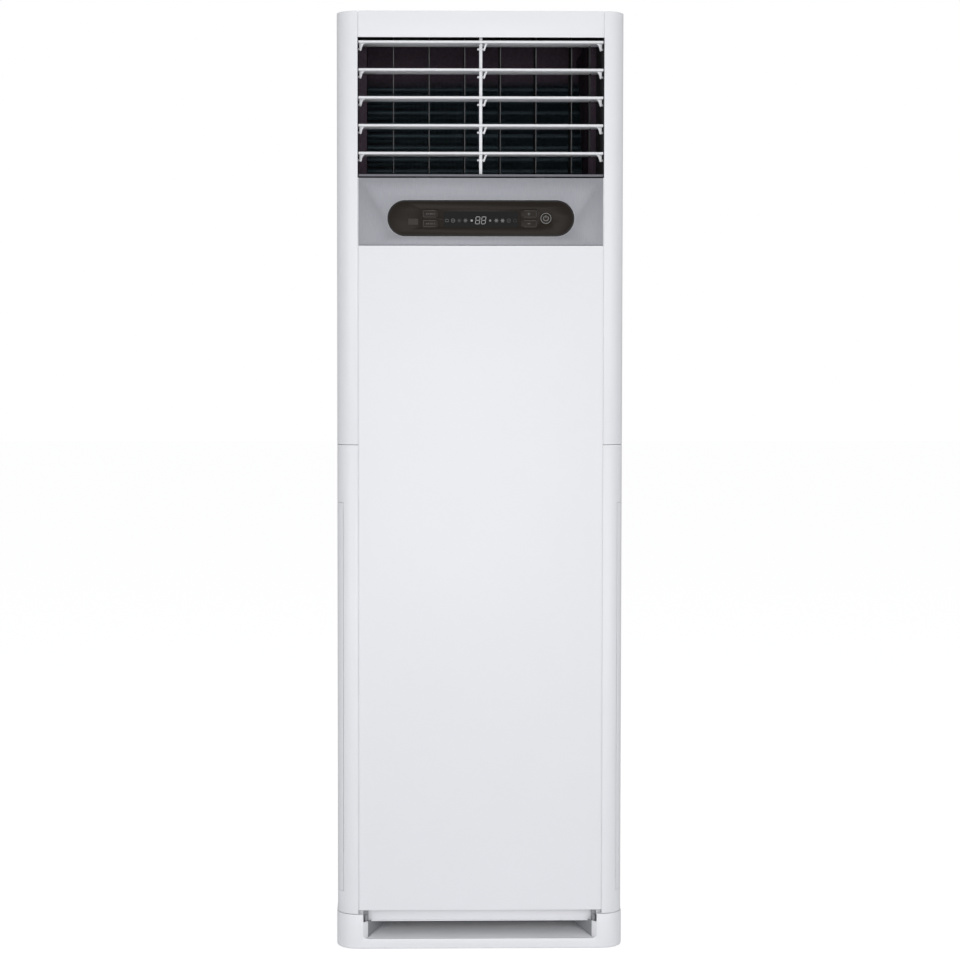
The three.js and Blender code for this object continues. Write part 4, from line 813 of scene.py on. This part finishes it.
def key_outline(x, z, side):
    """The outer end of a key's printed outline, fading inward: an open bracket."""
    reach, half, r = 13.9, 5.9, 0.8
    bracket = [(x - side * 9.0, z + half), (x + side * (reach - r), z + half)]
    bracket += arc_points(x + side * (reach - r), z + half - r, r, 90, 0 if side > 0 else 180, 5)
    bracket += arc_points(x + side * (reach - r), z - half + r, r, 0 if side > 0 else 180,
                          -90 if side > 0 else 270, 5)
    bracket += [(x - side * 9.0, z - half)]
    return bracket


for name, (x, z) in KEYS.items():
    side = -1 if x < 0 else 1
    bm = bmesh.new()
    z -= PRINT_DROP
    stroke(bm, key_outline(x, z, side), 0.5)
    print_bm(bm, name + "_outline", name, PRINT)
    marks = bmesh.new()
    if name == "key_up":
        stroke(marks, [(x - 2.4, z), (x + 2.4, z)], 0.8)
        stroke(marks, [(x, z - 2.4), (x, z + 2.4)], 0.8)
    elif name == "key_down":
        stroke(marks, [(x - 2.4, z), (x + 2.4, z)], 0.8)
    else:
        for k, length in enumerate((3.0, 2.2, 3.6, 1.8, 2.6)):
            x0 = x - 8.0 + k * 3.5
            stroke(marks, [(x0, z + 0.9), (x0 + length * 0.7, z + 0.9)], 0.5)
            stroke(marks, [(x0, z - 0.9), (x0 + length * 0.55, z - 0.9)], 0.5)
            stroke(marks, [(x0 + 0.2, z - 0.9), (x0 + 0.2, z + 0.9)], 0.45)
    print_bm(marks, name + "_mark", name, PRINT_PALE)
print("key prints:", 2 * len(KEYS))

# %% Power sign
bm = bmesh.new()
stroke(bm, arc_points(*POWER, 9.4, 0, 360, 48), 0.9)
stroke(bm, arc_points(*POWER, 4.6, 130, 410, 30), 1.0)
stroke(bm, [(POWER[0], POWER[1] + 1.2), (POWER[0], POWER[1] + 5.4)], 1.0)
print_bm(bm, "key_power_sign", "key_power", SIGN_GREY)
print("power sign made")

# %% [markdown]
# Behind the middle of the lens is the readout's window: a darker field with soft ends, two
# digits made of seven bars each, and a row of small indicator marks.

# %% Readout
bm = bmesh.new()
add_prism(bm, round_outline(69.5, 14.8, 3.0, 0, LENS_Z - 2.3), "y", LENS_Y - 0.03,
          LENS_Y + 0.3)
print_bm(bm, "readout_window", "cabinet", WINDOW, "smoked_lens")

digits = bmesh.new()
DIGIT_Z = LENS_Z - 3.9


def slanted(x, z):
    """A point of a digit, leaning to the right with height."""
    return (x + 0.12 * (z - DIGIT_Z), z)


for cx in (-6.0, 5.0):
    for level in (-6.6, 0.0, 6.6):
        z = DIGIT_Z + level
        stroke(digits, [slanted(cx - 3.0, z), slanted(cx + 3.0, z)], 0.9, proud=0.08)
    for x in (cx - 3.7, cx + 3.7):
        stroke(digits, [slanted(x, DIGIT_Z + 0.7), slanted(x, DIGIT_Z + 5.9)], 0.9, proud=0.08)
        stroke(digits, [slanted(x, DIGIT_Z - 5.9), slanted(x, DIGIT_Z - 0.7)], 0.9, proud=0.08)
print_bm(digits, "readout_digits", "cabinet", DIGIT_GREY, "smoked_lens")

# %% [markdown]
# Ten indicator marks stand beside the digits: filled dots and rings of several greys.

# %% Indicator marks
LEVELS = {"left": (0.62, 0.20, 0.09, 0.30, 0.22), "right": (0.36, 0.26, 0.28, 0.17, 0.09)}
for hand, side in HANDS.items():
    for k, level in enumerate(LEVELS[hand]):
        x, z = side * (17.2 + 11.55 * k), LENS_Z - 4.3
        bm = bmesh.new()
        if k == 0:
            add_rod(bm, 2.1, LENS_Y - 0.08, LENS_Y + PRINT_DEEP, "y", x, z, 20)
        elif k == 3:
            stroke(bm, arc_points(x, z, 3.2, 0, 360, 20), 1.1, proud=0.08)
            stroke(bm, [(x - 1.5, z), (x + 1.5, z)], 0.8, proud=0.08)
        elif k == 4:
            stroke(bm, arc_points(x, z - 0.4, 3.1, -35, 215, 16), 1.1, proud=0.08)
            stroke(bm, [(x - 2.3, z - 2.2), (x + 2.3, z - 2.2)], 0.9, proud=0.08)
        else:
            for turn in (0, 60, 120):
                dx = 3.6 * math.cos(math.radians(turn))
                dz = 3.6 * math.sin(math.radians(turn))
                stroke(bm, [(x - dx, z - dz), (x + dx, z + dz)], 1.4, proud=0.08)
            add_rod(bm, 2.2, LENS_Y - 0.09, LENS_Y + PRINT_DEEP, "y", x, z, 16)
        mark = finish(f"mark_{hand}_{k}", (level * 0.55, level * 0.55, level * 0.56), 0.5,
                      0.06, 900, 0.02, specular=0.1)
        print_bm(bm, f"indicator_{hand}_{k + 1}", "cabinet", mark, "smoked_lens")
print("indicator marks: 10")

# %% Receiver patch and the lens's rim of painted shade
bm = bmesh.new()
add_prism(bm, round_outline(9.2, 5.6, 1.2, -126.0, LENS_Z - 6.5), "y", LENS_Y - 0.04,
          LENS_Y + 0.3)
brown = finish("receiver_brown", (0.036, 0.031, 0.027), 0.3, 0.1, 500, 0.02, specular=0.1)
print_bm(bm, "receiver_patch", "cabinet", brown, "smoked_lens")
# The rim is a flat ring of painted shade standing in for the lens's bevelled edge.
pill_ring("lens_rim_painted_shade", -0.4, -2.6, LENS_Y - 0.02, LENS_Y + 0.3, RIM_PAINTED_SHADE, "smoked_lens")
print("readout made")

# %% [markdown]
# ## Base
#
# The base is a wide rounded skirt, open at the front over the low inlet. It is a block
# whose upright corners and lower edge are rounded, hollowed from above, with a mouth cut
# through the front. Cheeks and a sloped guide plate lead the air inward under a bar.

# %% Base skirt
BASE, BASE_DEEP = 270.0, 200.0     # half the base's width and depth
BASE_TOP = 66.2
MOUTH = 220.0                      # half the inlet's width at the front
bm = bmesh.new()
add_block(bm, (-BASE, -BASE_DEEP, 1.0), (BASE, BASE_DEEP, BASE_TOP))
bevel_where(bm, lambda e: along_axis(e, "z") and e.verts[0].co.y < 0, 40.0, 14)
bevel_where(bm, lambda e: along_axis(e, "z") and e.verts[0].co.y > 199.0, 6.5, 4)
bevel_where(bm, lambda e: max(v.co.z for v in e.verts) < 1.5, 3.0, 4)
bevel_where(bm, lambda e: min(v.co.z for v in e.verts) > BASE_TOP - 0.2
            and abs(e.calc_face_angle(0.0)) > 1.0, 1.0, 2)
skirt = to_object("base_shell", bm)
inner = bmesh.new()
add_block(inner, (2.5 - BASE, 2.5 - BASE_DEEP, 20.0), (BASE - 2.5, BASE_DEEP - 2.5, 90.0))
bevel_where(inner, lambda e: along_axis(e, "z") and e.verts[0].co.y < 0, 37.5, 14)
bevel_where(inner, lambda e: along_axis(e, "z") and e.verts[0].co.y > 197.0, 4.0, 3)
cut(skirt, inner)
under = bmesh.new()
add_block(under, (9.5 - BASE, 9.5 - BASE_DEEP, -5.0), (BASE - 9.5, BASE_DEEP - 9.5, 17.5))
bevel_where(under, lambda e: along_axis(e, "z"), 30.0, 8)
cut(skirt, under)
mouth = bmesh.new()
add_prism(mouth, round_outline(MOUTH, 30.0, 9.0, 0.0, 50.0), "y", -210.0, -190.0)
cut(skirt, mouth)
round_off(skirt, 0.5)
place(skirt, "cabinet", "shell_white", "base")
print("base skirt:", len(skirt.data.polygons), "faces")

# %% Inlet reveals, cheeks, guide, bar and end pieces


def add_walls(bm, start, end):
    """An upright wall along a line in plan, and its mirror image."""
    for side in (-1, 1):
        line = [(side * x, y) for x, y in (start, end)]
        back = [(x + side * 2.5, y) for x, y in line][::-1]
        add_prism(bm, line + back, "z", 19.0, 51.5)


bm = bmesh.new()
add_walls(bm, (MOUTH, -198.75), (211.2, -191.2))
add_piece("inlet_reveals", bm, "cabinet", "shell_white", soft=(0.4, 2))
# The cheeks are white plastic. Their grey finish is painted shade of the inlet's side walls.
bm = bmesh.new()
add_walls(bm, (211.0, -191.0), (169.0, -120.0))
add_piece("inlet_cheeks", bm, "cabinet", "shell_white", soft=(0.4, 2), look=CHEEK_PAINTED_SHADE)
bm = bmesh.new()
add_prism(bm, [(-197.2, 20.2), (-119.8, 42.6), (-119.8, 40.8), (-190.6, 20.2)], "x",
          -214.0, 214.0)
guide = to_object("inlet_guide", bm)
plan = bmesh.new()
add_prism(plan, [(-213.0, -197.6), (213.0, -197.6), (210.4, -191.2), (168.2, -119.6),
                 (-168.2, -119.6), (-210.4, -191.2)], "z", 15.0, 60.0)
cut(guide, plan, keep=True)
round_off(guide, 0.3)
place(guide, "cabinet", "shell_white")
bm = bmesh.new()
add_block(bm, (-211.0, -180.0, 49.0), (211.0, -177.5, 70.0))
add_block(bm, (-211.0, -181.2, 49.0), (211.0, -179.0, 51.2))
add_piece("inlet_bar", bm, "cabinet", "shell_white", soft=(0.5, 2))
# The end blocks and clips are white plastic. Their grey finish is painted shade of the recess at
# each end of the bar.
bm = bmesh.new()
add_pair(bm, (211.2, -186.0, 50.5), (219.8, -178.0, 71.0))
add_piece("inlet_end_blocks", bm, "cabinet", "shell_white", soft=(0.6, 2), look=CLIP_PAINTED_SHADE)
bm = bmesh.new()
add_pair(bm, (212.6, -192.0, 55.0), (217.4, -185.0, 63.0))
add_pair(bm, (212.6, -192.0, 52.0), (217.4, -189.8, 56.0))
add_piece("inlet_clips", bm, "cabinet", "shell_white", soft=(0.6, 2), look=CLIP_PAINTED_SHADE)
bm = bmesh.new()
add_pair(bm, (220.2, -188.0, 60.0), (231.6, -181.0, 71.0))
add_piece("inlet_corner_fillers", bm, "cabinet", "shell_white", soft=(0.6, 2))
bm = bmesh.new()
add_block(bm, (-166.0, -116.0, 24.0), (166.0, -114.5, 62.0))
add_piece("inlet_screen", bm, "cabinet", "duct_grey", soft=(0.3, 1), look=SILL)
print("inlet made")

# %% [markdown]
# Feet are turned from one profile, with a shallow groove, and stand under the four bosses.

# %% Feet and bosses
FEET = [(220, -150), (220, 150), (-220, -150), (-220, 150)]
for i, (x, y) in enumerate(FEET):
    bm = bmesh.new()
    add_ring(bm, [(0.01, 0.0), (9.0, 0.0), (9.6, 0.8), (12.0, 0.8), (12.6, 0.0), (14.6, 0.0),
                  (15.9, 1.4), (15.9, 5.0), (15.4, 5.9), (0.01, 5.9)], (x, y, 0.0), 40)
    add_piece(f"foot_pad_{i + 1}", bm, "cabinet", "foot_rubber", f"foot_{i + 1}")
bm = bmesh.new()
for x, y in FEET:
    add_rod(bm, 19.0, 6.2, 18.5, "z", x, y, 40)
add_piece("foot_bosses", bm, "cabinet", "shell_white", soft=(0.6, 2))
print("feet: 4")

# %% [markdown]
# ## Level blades
#
# Five equal blades turn about pins at their ends and at the centre post. A blade is two
# pieces: a tapered plate drawn along X, with a slot for the post and a notch for the link,
# and the hooked ears that hang from it, with their pins.

# %% One blade


BLADE_RISE = 12.0     # a blade's middle plane above its pivot
LINK_ARM = 34.0       # from a blade's pivot back to the link's pin
ARM_DEEP = 3.9        # half the depth of a blade's arm


def blade_mesh(name, pivot_z):
    """A blade's tapered plate at its place."""
    half = [(-14.6, 1.15), (-14.0, 2.05), (-13.2, 2.35), (-6.0, 2.25), (10.0, 1.8),
            (42.0, 0.95), (42.6, 0.4)]
    middle = pivot_z + BLADE_RISE
    section = [(PIVOT_Y + y, middle - z) for y, z in half]
    section += [(PIVOT_Y + y, middle + z) for y, z in half[::-1]]
    bm = bmesh.new()
    add_prism(bm, section, "x", -227.6, 227.6)
    obj = to_object(name, bm)
    gap = bmesh.new()
    over = pivot_z + 2 * BLADE_RISE
    add_block(gap, (-4.9, PIVOT_Y - 12.2, pivot_z), (4.9, PIVOT_Y + 13.0, over))
    add_block(gap, (203.6, PIVOT_Y + LINK_ARM - 6.0, pivot_z), (210.0, PIVOT_Y + 60.0, over))
    cut(obj, gap)
    return round_off(obj, 0.35, angle=50.0)


def ears_mesh(name, pivot_z):
    """A blade's three hanging arms, their pins and the link's pin."""
    bm = bmesh.new()
    outer = 226.1
    end_arm = [(0.0, 11.0), (14.0, 11.0), (10.6, 10.0), (7.8, 8.2), (5.9, 5.6), (4.8, 2.5),
               (4.3, -0.6), (3.4, -2.4), (2.0, -3.0), (0.7, -2.4), (0.0, -0.8)]
    arms = [[(side * (outer - x), z) for x, z in end_arm] for side in (-1, 1)]
    arms.append([(14.4, 11.0), (8.6, 11.0), (6.6, 6.0), (4.45, -0.4), (4.9, -2.2), (6.2, -3.0),
                 (7.4, -2.2), (8.0, -0.2), (9.2, 3.4), (10.8, 7.0), (12.4, 9.4)])
    for arm in arms:
        add_prism(bm, [(x, z + pivot_z) for x, z in arm], "y", PIVOT_Y - ARM_DEEP,
                  PIVOT_Y + ARM_DEEP)
    for x0, x1 in ((-230.6, -222.6), (222.6, 230.6), (-6.4, 8.0)):
        add_rod(bm, 2.0, x0, x1, "x", PIVOT_Y, pivot_z, 20)
    add_rod(bm, 1.5, 202.8, 210.8, "x", PIVOT_Y + LINK_ARM, pivot_z + BLADE_RISE, 16)
    return round_off(to_object(name, bm), 0.45, angle=50.0)


for i, z in enumerate(BLADES):
    blade = blade_mesh(f"louvre_{i + 1}", z)
    place(blade, f"blade_{i + 1}", "louvre_white", f"blade_{i + 1}")
    ears = ears_mesh(f"louvre_{i + 1}_ears", z)
    place(ears, f"blade_{i + 1}", "louvre_white")
print("blades:", len(BLADES), "with", len(blade.data.polygons), "faces each")

# %% Centre post
bm = bmesh.new()
low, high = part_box("centre_post")
add_block(bm, low / MM + Vector((0.5, 0, 0)), high / MM - Vector((0.5, 0, 0)))
post = to_object("centre_post_bar", bm)
holes = bmesh.new()
for z in BLADES:
    add_rod(holes, 2.3, -10, 10, "x", PIVOT_Y, z, 20)
cut(post, holes)
round_off(post, 0.6)
place(post, "cabinet", "louvre_white", "centre_post")
print("centre post:", len(post.data.polygons), "faces")

# %% [markdown]
# ## Upright vanes
#
# Six thin vanes behind the blades: a flat plate with rounded edges, pins above and below,
# a small pin at the foot where the link joins, and a paler front edge.

# %% Vanes
VANE_Y = -102.0
bottom, top = 1462.1, 1721.3
for i, x in enumerate(VANES):
    low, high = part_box(f"vane_{i + 1}")
    bm = bmesh.new()
    half = [(-29.6, 0.45), (-29.0, 0.9), (0, 0.9), (28.6, 0.6), (29.6, 0.3)]
    plate = [(x - thick, VANE_Y + y) for y, thick in half]
    plate += [(x + thick, VANE_Y + y) for y, thick in half[::-1]]
    add_prism(bm, plate, "z", bottom, top)
    add_rod(bm, 2.0, low.z / MM, bottom + 14, "z", x, VANE_Y, 20)
    add_rod(bm, 2.0, top - 14, high.z / MM, "z", x, VANE_Y, 20)
    add_rod(bm, 1.5, 1459.2, bottom + 8, "z", x, VANE_Y + 22.0, 16)
    add_piece(f"vane_{i + 1}_plate", bm, f"vane_{i + 1}", "vane_grey", f"vane_{i + 1}",
              soft=(0.2, 1))
    bm = bmesh.new()
    add_block(bm, (x - 0.75, VANE_Y - 30.0, bottom + 1.0), (x + 0.75, VANE_Y - 29.3, top - 1.0))
    add_piece(f"vane_{i + 1}_edge", bm, f"vane_{i + 1}", "vane_grey", soft=(0.2, 1),
              look=VANE_EDGE)
print("vanes:", len(VANES))

# %% [markdown]
# ## Pieces refined from their CAD copies
#
# Inner pieces keep the CAD node's form. Each is a merged copy whose flat areas are joined
# again and whose edges are rounded.

# %% Softened copies


def softened(node, width, angle=38.0):
    """A rounded copy of a CAD node that then stands for it."""
    source = frame["nodes"][node]
    bm = bmesh.new()
    bm.from_mesh(source.data)
    bmesh.ops.remove_doubles(bm, verts=bm.verts, dist=0.00002)
    bmesh.ops.dissolve_limit(bm, angle_limit=math.radians(0.5), verts=bm.verts,
                             edges=bm.edges)
    obj = link_mesh(node + "_refined", bm)
    soften(obj, width, 2, angle)
    smooth(settle(obj))
    return place(obj, BODY_OF[node], SLOT_OF[node], node)


BODY_OF = {}
for body, nodes in frame["record"]["behaviour"]["bodies"].items():
    for node in nodes:
        BODY_OF[node] = body
print("nodes with a body:", len(BODY_OF))

# %% Inner pieces
SOFT = {"outlet_duct": 0.6, "front_crossbar": 0.4, "rear_panel": 0.3,
        "rear_pipe_plate": 0.3, "blade_link": 0.4,
        "vane_link": 0.3, "vane_crank": 0.3, "vane_motor": 0.5, "blower_housing": 0.3,
        "inlet_ring": 0.3, "fan_motor": 1.0, "motor_bracket": 0.4, "coil_plate_left": 0.2,
        "coil_plate_right": 0.2, "drain_pan": 0.6, "divider_deck": 0.3,
        "electrical_box": 0.5, "terminal_block": 0.3, "main_board": 0.2,
        "display_board": 0.2, "fan_shaft": 0.5}
for node, width in SOFT.items():
    made = softened(node, width)
    print(node, len(made.data.polygons))

# %% [markdown]
# ## Swept tubes
#
# Pipes, bends and grommets are a circle swept along a path, with the circle kept from
# twisting on the way.

# %% Sweeping


def sweep(bm, path, radius, sides=20, closed=False):
    """A tube along a path of points."""
    points = [Vector(p) for p in path]
    count = len(points)
    rings, normal = [], None
    for i, here in enumerate(points):
        if closed:
            ahead, behind = points[(i + 1) % count], points[i - 1]
        else:
            ahead, behind = points[min(i + 1, count - 1)], points[max(i - 1, 0)]
        along = (ahead - behind).normalized()
        if normal is None:
            normal = along.orthogonal().normalized()
        normal = (normal - along * normal.dot(along)).normalized()
        across = along.cross(normal)
        rings.append([bm.verts.new(here + radius * (math.cos(t) * normal + math.sin(t) * across))
                      for t in (2 * math.pi * k / sides for k in range(sides))])
    last = count if closed else count - 1
    for i in range(last):
        a, b = rings[i], rings[(i + 1) % count]
        for k in range(sides):
            j = (k + 1) % sides
            bm.faces.new((a[k], a[j], b[j], b[k]))
    if not closed:
        bm.faces.new(rings[0][::-1])
        bm.faces.new(rings[-1])


print("sweep ready")

# %% [markdown]
# ## Cooling coil
#
# The coil leans back inside the cabinet: thin upright fins on rows of level tubes. The
# tubes' ends are joined in pairs by return bends outside the end plates.

# %% Coil fins
FOOT_YZ = Vector((-48.5, 1131.0))
HEAD_YZ = Vector((151.5, 1664.9))
lean = (HEAD_YZ - FOOT_YZ).normalized()
side_on = Vector((lean.y, -lean.x))
length = (HEAD_YZ - FOOT_YZ).length
corners = [FOOT_YZ - side_on * 21.6, FOOT_YZ + side_on * 21.6,
           HEAD_YZ + side_on * 21.6, HEAD_YZ - side_on * 21.6]
bm = bmesh.new()
fin_pitch = 2.6
for x in stepped(-214.4, 214.4, fin_pitch):
    add_prism(bm, [tuple(c) for c in corners], "x", x, x + 0.35)
fins = to_object("coil_fins", bm)
place(fins, "cabinet", "fin_aluminium", "evaporator_core")
print("fins:", len(fins.data.polygons) // 6)

# %% Coil tubes and return bends
bm = bmesh.new()
spots = []
rows = 22
for k in range(rows):
    for r in (-1, 1):
        centre = FOOT_YZ + lean * (length * (k + 0.5) / rows) + side_on * (r * 10.5)
        spots.append(centre)
        add_rod(bm, 4.6, -214.9, 214.9, "x", centre.x, centre.y, 16)
add_piece("coil_tubes", bm, "cabinet", "fin_aluminium")
bends = bmesh.new()
for side in (-1, 1):
    for k in range(rows):
        a, b = spots[2 * k], spots[2 * k + 1]
        if side < 0 and k + 1 < rows:
            a, b = spots[2 * k + 1], spots[2 * k + 2]
        middle, half = (a + b) / 2, (b - a) / 2
        path = []
        for j in range(9):
            t = math.pi * j / 8
            p = middle - half * math.cos(t)
            path.append((side * (216.6 + 9.0 * math.sin(t)), p.x, p.y))
        sweep(bends, path, 3.6, 12)
add_piece("coil_bends", bends, "cabinet", "pipe_copper")
print("tubes:", len(spots))

# %% [markdown]
# ## Liners and sill
#
# Dark foam lines the upper cabinet behind the outlet and leads the air from the coil to
# the duct. A grey sill closes the foot of the outlet.

# %% Foam liners
bm = bmesh.new()
add_block(bm, (-252.0, 194.2, 1180.0), (252.0, 197.2, 1752.0))
add_pair(bm, (262.2, -138.0, 1126.0), (266.2, 180.0, 1752.0))
add_pair(bm, (213.0, -61.9, 1452.0), (231.0, -59.9, 1724.0))
guide = [(-61.6, 1452.0), (-61.6, 1724.0), (190.0, 1724.0), (190.0, 1712.0),
         (128.0, 1676.0), (47.0, 1452.0)]
for x in (-214.9, 213.0):
    add_prism(bm, guide, "x", x, x + 1.9)
add_block(bm, (-250.0, -60.0, 1750.6), (250.0, 194.0, 1754.4))
foam = add_piece("liner_foam", bm, "cabinet", "duct_grey", soft=(0.5, 1), look=FOAM)
print("foam liners:", len(foam.data.polygons), "faces")

# %% Sill at the foot of the outlet
bm = bmesh.new()
add_block(bm, (-227.4, -197.3, 1451.0), (227.4, -195.0, 1455.2))
add_piece("outlet_sill", bm, "cabinet", "duct_grey", soft=(0.5, 2), look=SILL)
print("sill made")

# %% [markdown]
# ## Blower wheel, pipes and hose
#
# These keep their CAD form, with smooth shading over rounded edges. The rubber rings in
# the holes of the rear pipe plate are new.

# %% Wheel, pipes and hose
for node, width in {"blower_wheel": 0.15, "gas_pipe": 0.4, "liquid_pipe": 0.4,
                    "drain_hose": 0.4}.items():
    made = softened(node, width, angle=45.0)
    print(node, len(made.data.polygons))

# %% Rubber rings in the pipe holes
bm = bmesh.new()
for side in (-1, 1):
    edge = [(x, 197.6, z) for x, z in round_outline(34.2, 34.2, 11.4, side * 170.0, 160.0, 8)]
    sweep(bm, edge, 1.5, 12, closed=True)
add_piece("pipe_hole_rings", bm, "cabinet", "foot_rubber")
print("rings made")

# %% [markdown]
# ## Fasteners
#
# Pan-head screws hold the rear panel. A screw is a turned dome, and two dark bars let into
# it are painted shade that stands for the recessed cross in its head.

# %% Screw heads


def screw_head(bm, x, z, y, radius=3.4):
    """A domed head that stands out along +Y."""
    outline = [(0.01, 0.0), (radius, 0.0), (radius * 0.96, 0.35), (radius * 0.75, 0.8),
               (radius * 0.4, 1.05), (0.01, 1.1)]
    ring = add_ring(bm, outline, (0, 0, 0), 20)
    bmesh.ops.rotate(bm, cent=(0, 0, 0), verts=ring,
                     matrix=Matrix.Rotation(-math.pi / 2, 3, "X"))
    bmesh.ops.translate(bm, vec=(x, y, z), verts=ring)


spots = [(side * 247.5, z) for side in (-1, 1) for z in (95, 360, 625, 890, 1155, 1420, 1725)]
spots += [(x, 1738.0) for x in (-160.0, 0.0, 160.0)] + [(x, 82.0) for x in (-100.0, 100.0)]
bm = bmesh.new()
for x, z in spots:
    screw_head(bm, x, z, BACK - 0.2)
screws = smooth(to_object("rear_screws", bm), 60.0)
paint(place(screws, "cabinet", "galvanised_steel"), SCREW)
# The dark bars are painted shade of each head's cross recess; no cross is cut.
slots = bmesh.new()
for x, z in spots:
    add_block(slots, (x - 1.9, 199.15, z - 0.35), (x + 1.9, 199.45, z + 0.35))
    add_block(slots, (x - 0.35, 199.15, z - 1.9), (x + 0.35, 199.45, z + 1.9))
print_bm(slots, "rear_screw_slots", "cabinet", CROSS_PAINTED_SHADE, "galvanised_steel")
print("rear screws:", len(spots))

# %% Pressed beads that stiffen the rear panel
bm = bmesh.new()
for z in (430.0, 700.0, 970.0, 1240.0, 1510.0):
    outline = round_outline(185.0, 5.0, 4.9, 0.0, z, 6)
    add_prism(bm, outline, "y", 198.0, 199.1)
add_piece("rear_beads", bm, "cabinet", "galvanised_steel", soft=(0.5, 2))
print("beads: 5")

# %% Parts on the main board
bm = bmesh.new()
PARTS = [(-28, 1035, 16, 22), (0, 1040, 12, 12), (28, 1032, 20, 10), (70, 1050, 24, 16),
         (112, 1040, 14, 14), (30, 1120, 26, 18), (-22, 1140, 14, 20), (95, 1120, 18, 12),
         (140, 1080, 12, 30)]     # middle in X and Z, width and height
PARTS_FRONT, PARTS_BACK = -128.5, -121.0
for x, z, w, h in PARTS:
    add_block(bm, (x - w / 2, PARTS_FRONT, z - h / 2), (x + w / 2, PARTS_BACK, z + h / 2))
add_piece("main_board_parts", bm, "cabinet", "terminal_black", soft=(0.8, 2))
print("board parts placed")

# %% [markdown]
# ## Stage, light and camera
#
# A pale floor, a white surround, two tall soft lights in front on either side and a soft
# one from above. The camera stands a little to the left, at chest height, with its view
# shifted as in the photo.

# %% Floor
floor_mesh = bmesh.new()
bmesh.ops.create_grid(floor_mesh, x_segments=1, y_segments=1, size=30000.0)
floor = to_object("floor", floor_mesh)
floor_mat = bpy.data.materials.new("floor_white")
tree = empty_tree(floor_mat)
out = add_node(tree, "OutputMaterial")
glow = add_node(tree, "Emission", Strength=1.24)
matt = add_node(tree, "BsdfDiffuse", Color=(0.92, 0.92, 0.92, 1))
bright = add_node(tree, "MixShader", Fac=0.30)
plain = add_node(tree, "BsdfDiffuse", Color=(0.90, 0.90, 0.91, 1))
path = add_node(tree, "LightPath")
pick = add_node(tree, "MixShader")
wire(tree, (glow, 0, bright, 1), (matt, 0, bright, 2), (path, "Is Camera Ray", pick, "Fac"),
     (plain, 0, pick, 1), (bright, 0, pick, 2), (pick, 0, out, "Surface"))
floor.data.materials.append(floor_mat)
print("floor made")

# %% White surround
world = bpy.data.worlds.new("surround")
bpy.context.scene.world = world
tree = empty_tree(world)
out = add_node(tree, "OutputWorld")
seen = add_node(tree, "Background", Color=(1, 1, 1, 1), Strength=1.0)
lit = add_node(tree, "Background", Color=(0.97, 0.985, 1.0, 1), Strength=0.44)
path = add_node(tree, "LightPath")
either = add_node(tree, "Math")
either.operation = "MAXIMUM"
mix = add_node(tree, "MixShader")
wire(tree, (path, "Is Camera Ray", either, 0), (path, "Is Transmission Ray", either, 1),
     (either, 0, mix, "Fac"), (lit, 0, mix, 1), (seen, 0, mix, 2), (mix, 0, out, "Surface"))
print("surround made")

# %% Soft lights


def soft_light(name, place_at, aim, size_x, size_y, power):
    """A rectangular area light that points at a spot."""
    data = bpy.data.lights.new(name, "AREA")
    data.shape = "RECTANGLE"
    data.size, data.size_y, data.energy = size_x, size_y, power
    lamp = bpy.data.objects.new(name, data)
    bpy.context.scene.collection.objects.link(lamp)
    lamp.location = place_at
    lamp.rotation_euler = (Vector(aim) - Vector(place_at)).to_track_quat("-Z", "Y").to_euler()
    return lamp


soft_light("key_left", (-2.7, -3.0, 0.95), (0, -0.2, 0.85), 1.2, 3.0, 34)
soft_light("key_right", (2.7, -3.0, 0.95), (0, -0.2, 0.85), 1.2, 3.0, 34)
soft_light("front_fill", (0.0, -6.2, 1.15), (0, -0.2, 0.6), 3.4, 2.4, 82)
soft_light("overhead", (0.0, -1.0, 4.4), (0, 0, 0.9), 2.6, 2.6, 25)
print("lights: 4")

# %% Camera
camera_data = bpy.data.cameras.new("camera")
camera = bpy.data.objects.new("camera", camera_data)
bpy.context.scene.collection.objects.link(camera)
camera.location = (-0.1820, -4.0889, 1.0823)
camera.rotation_euler = (math.radians(87.770), 0.0, math.radians(-0.900))
camera_data.sensor_fit = "HORIZONTAL"
camera_data.sensor_width = 36.0
camera_data.lens = 78.142
camera_data.shift_x = 0.0667
camera_data.shift_y = -0.0250
camera_data.dof.use_dof = False
camera_data.clip_start = 0.05
camera_data.clip_end = 100.0
bpy.context.scene.camera = camera
bpy.context.scene.view_settings.view_transform = "Standard"
print("camera at", [round(c, 3) for c in camera.location])
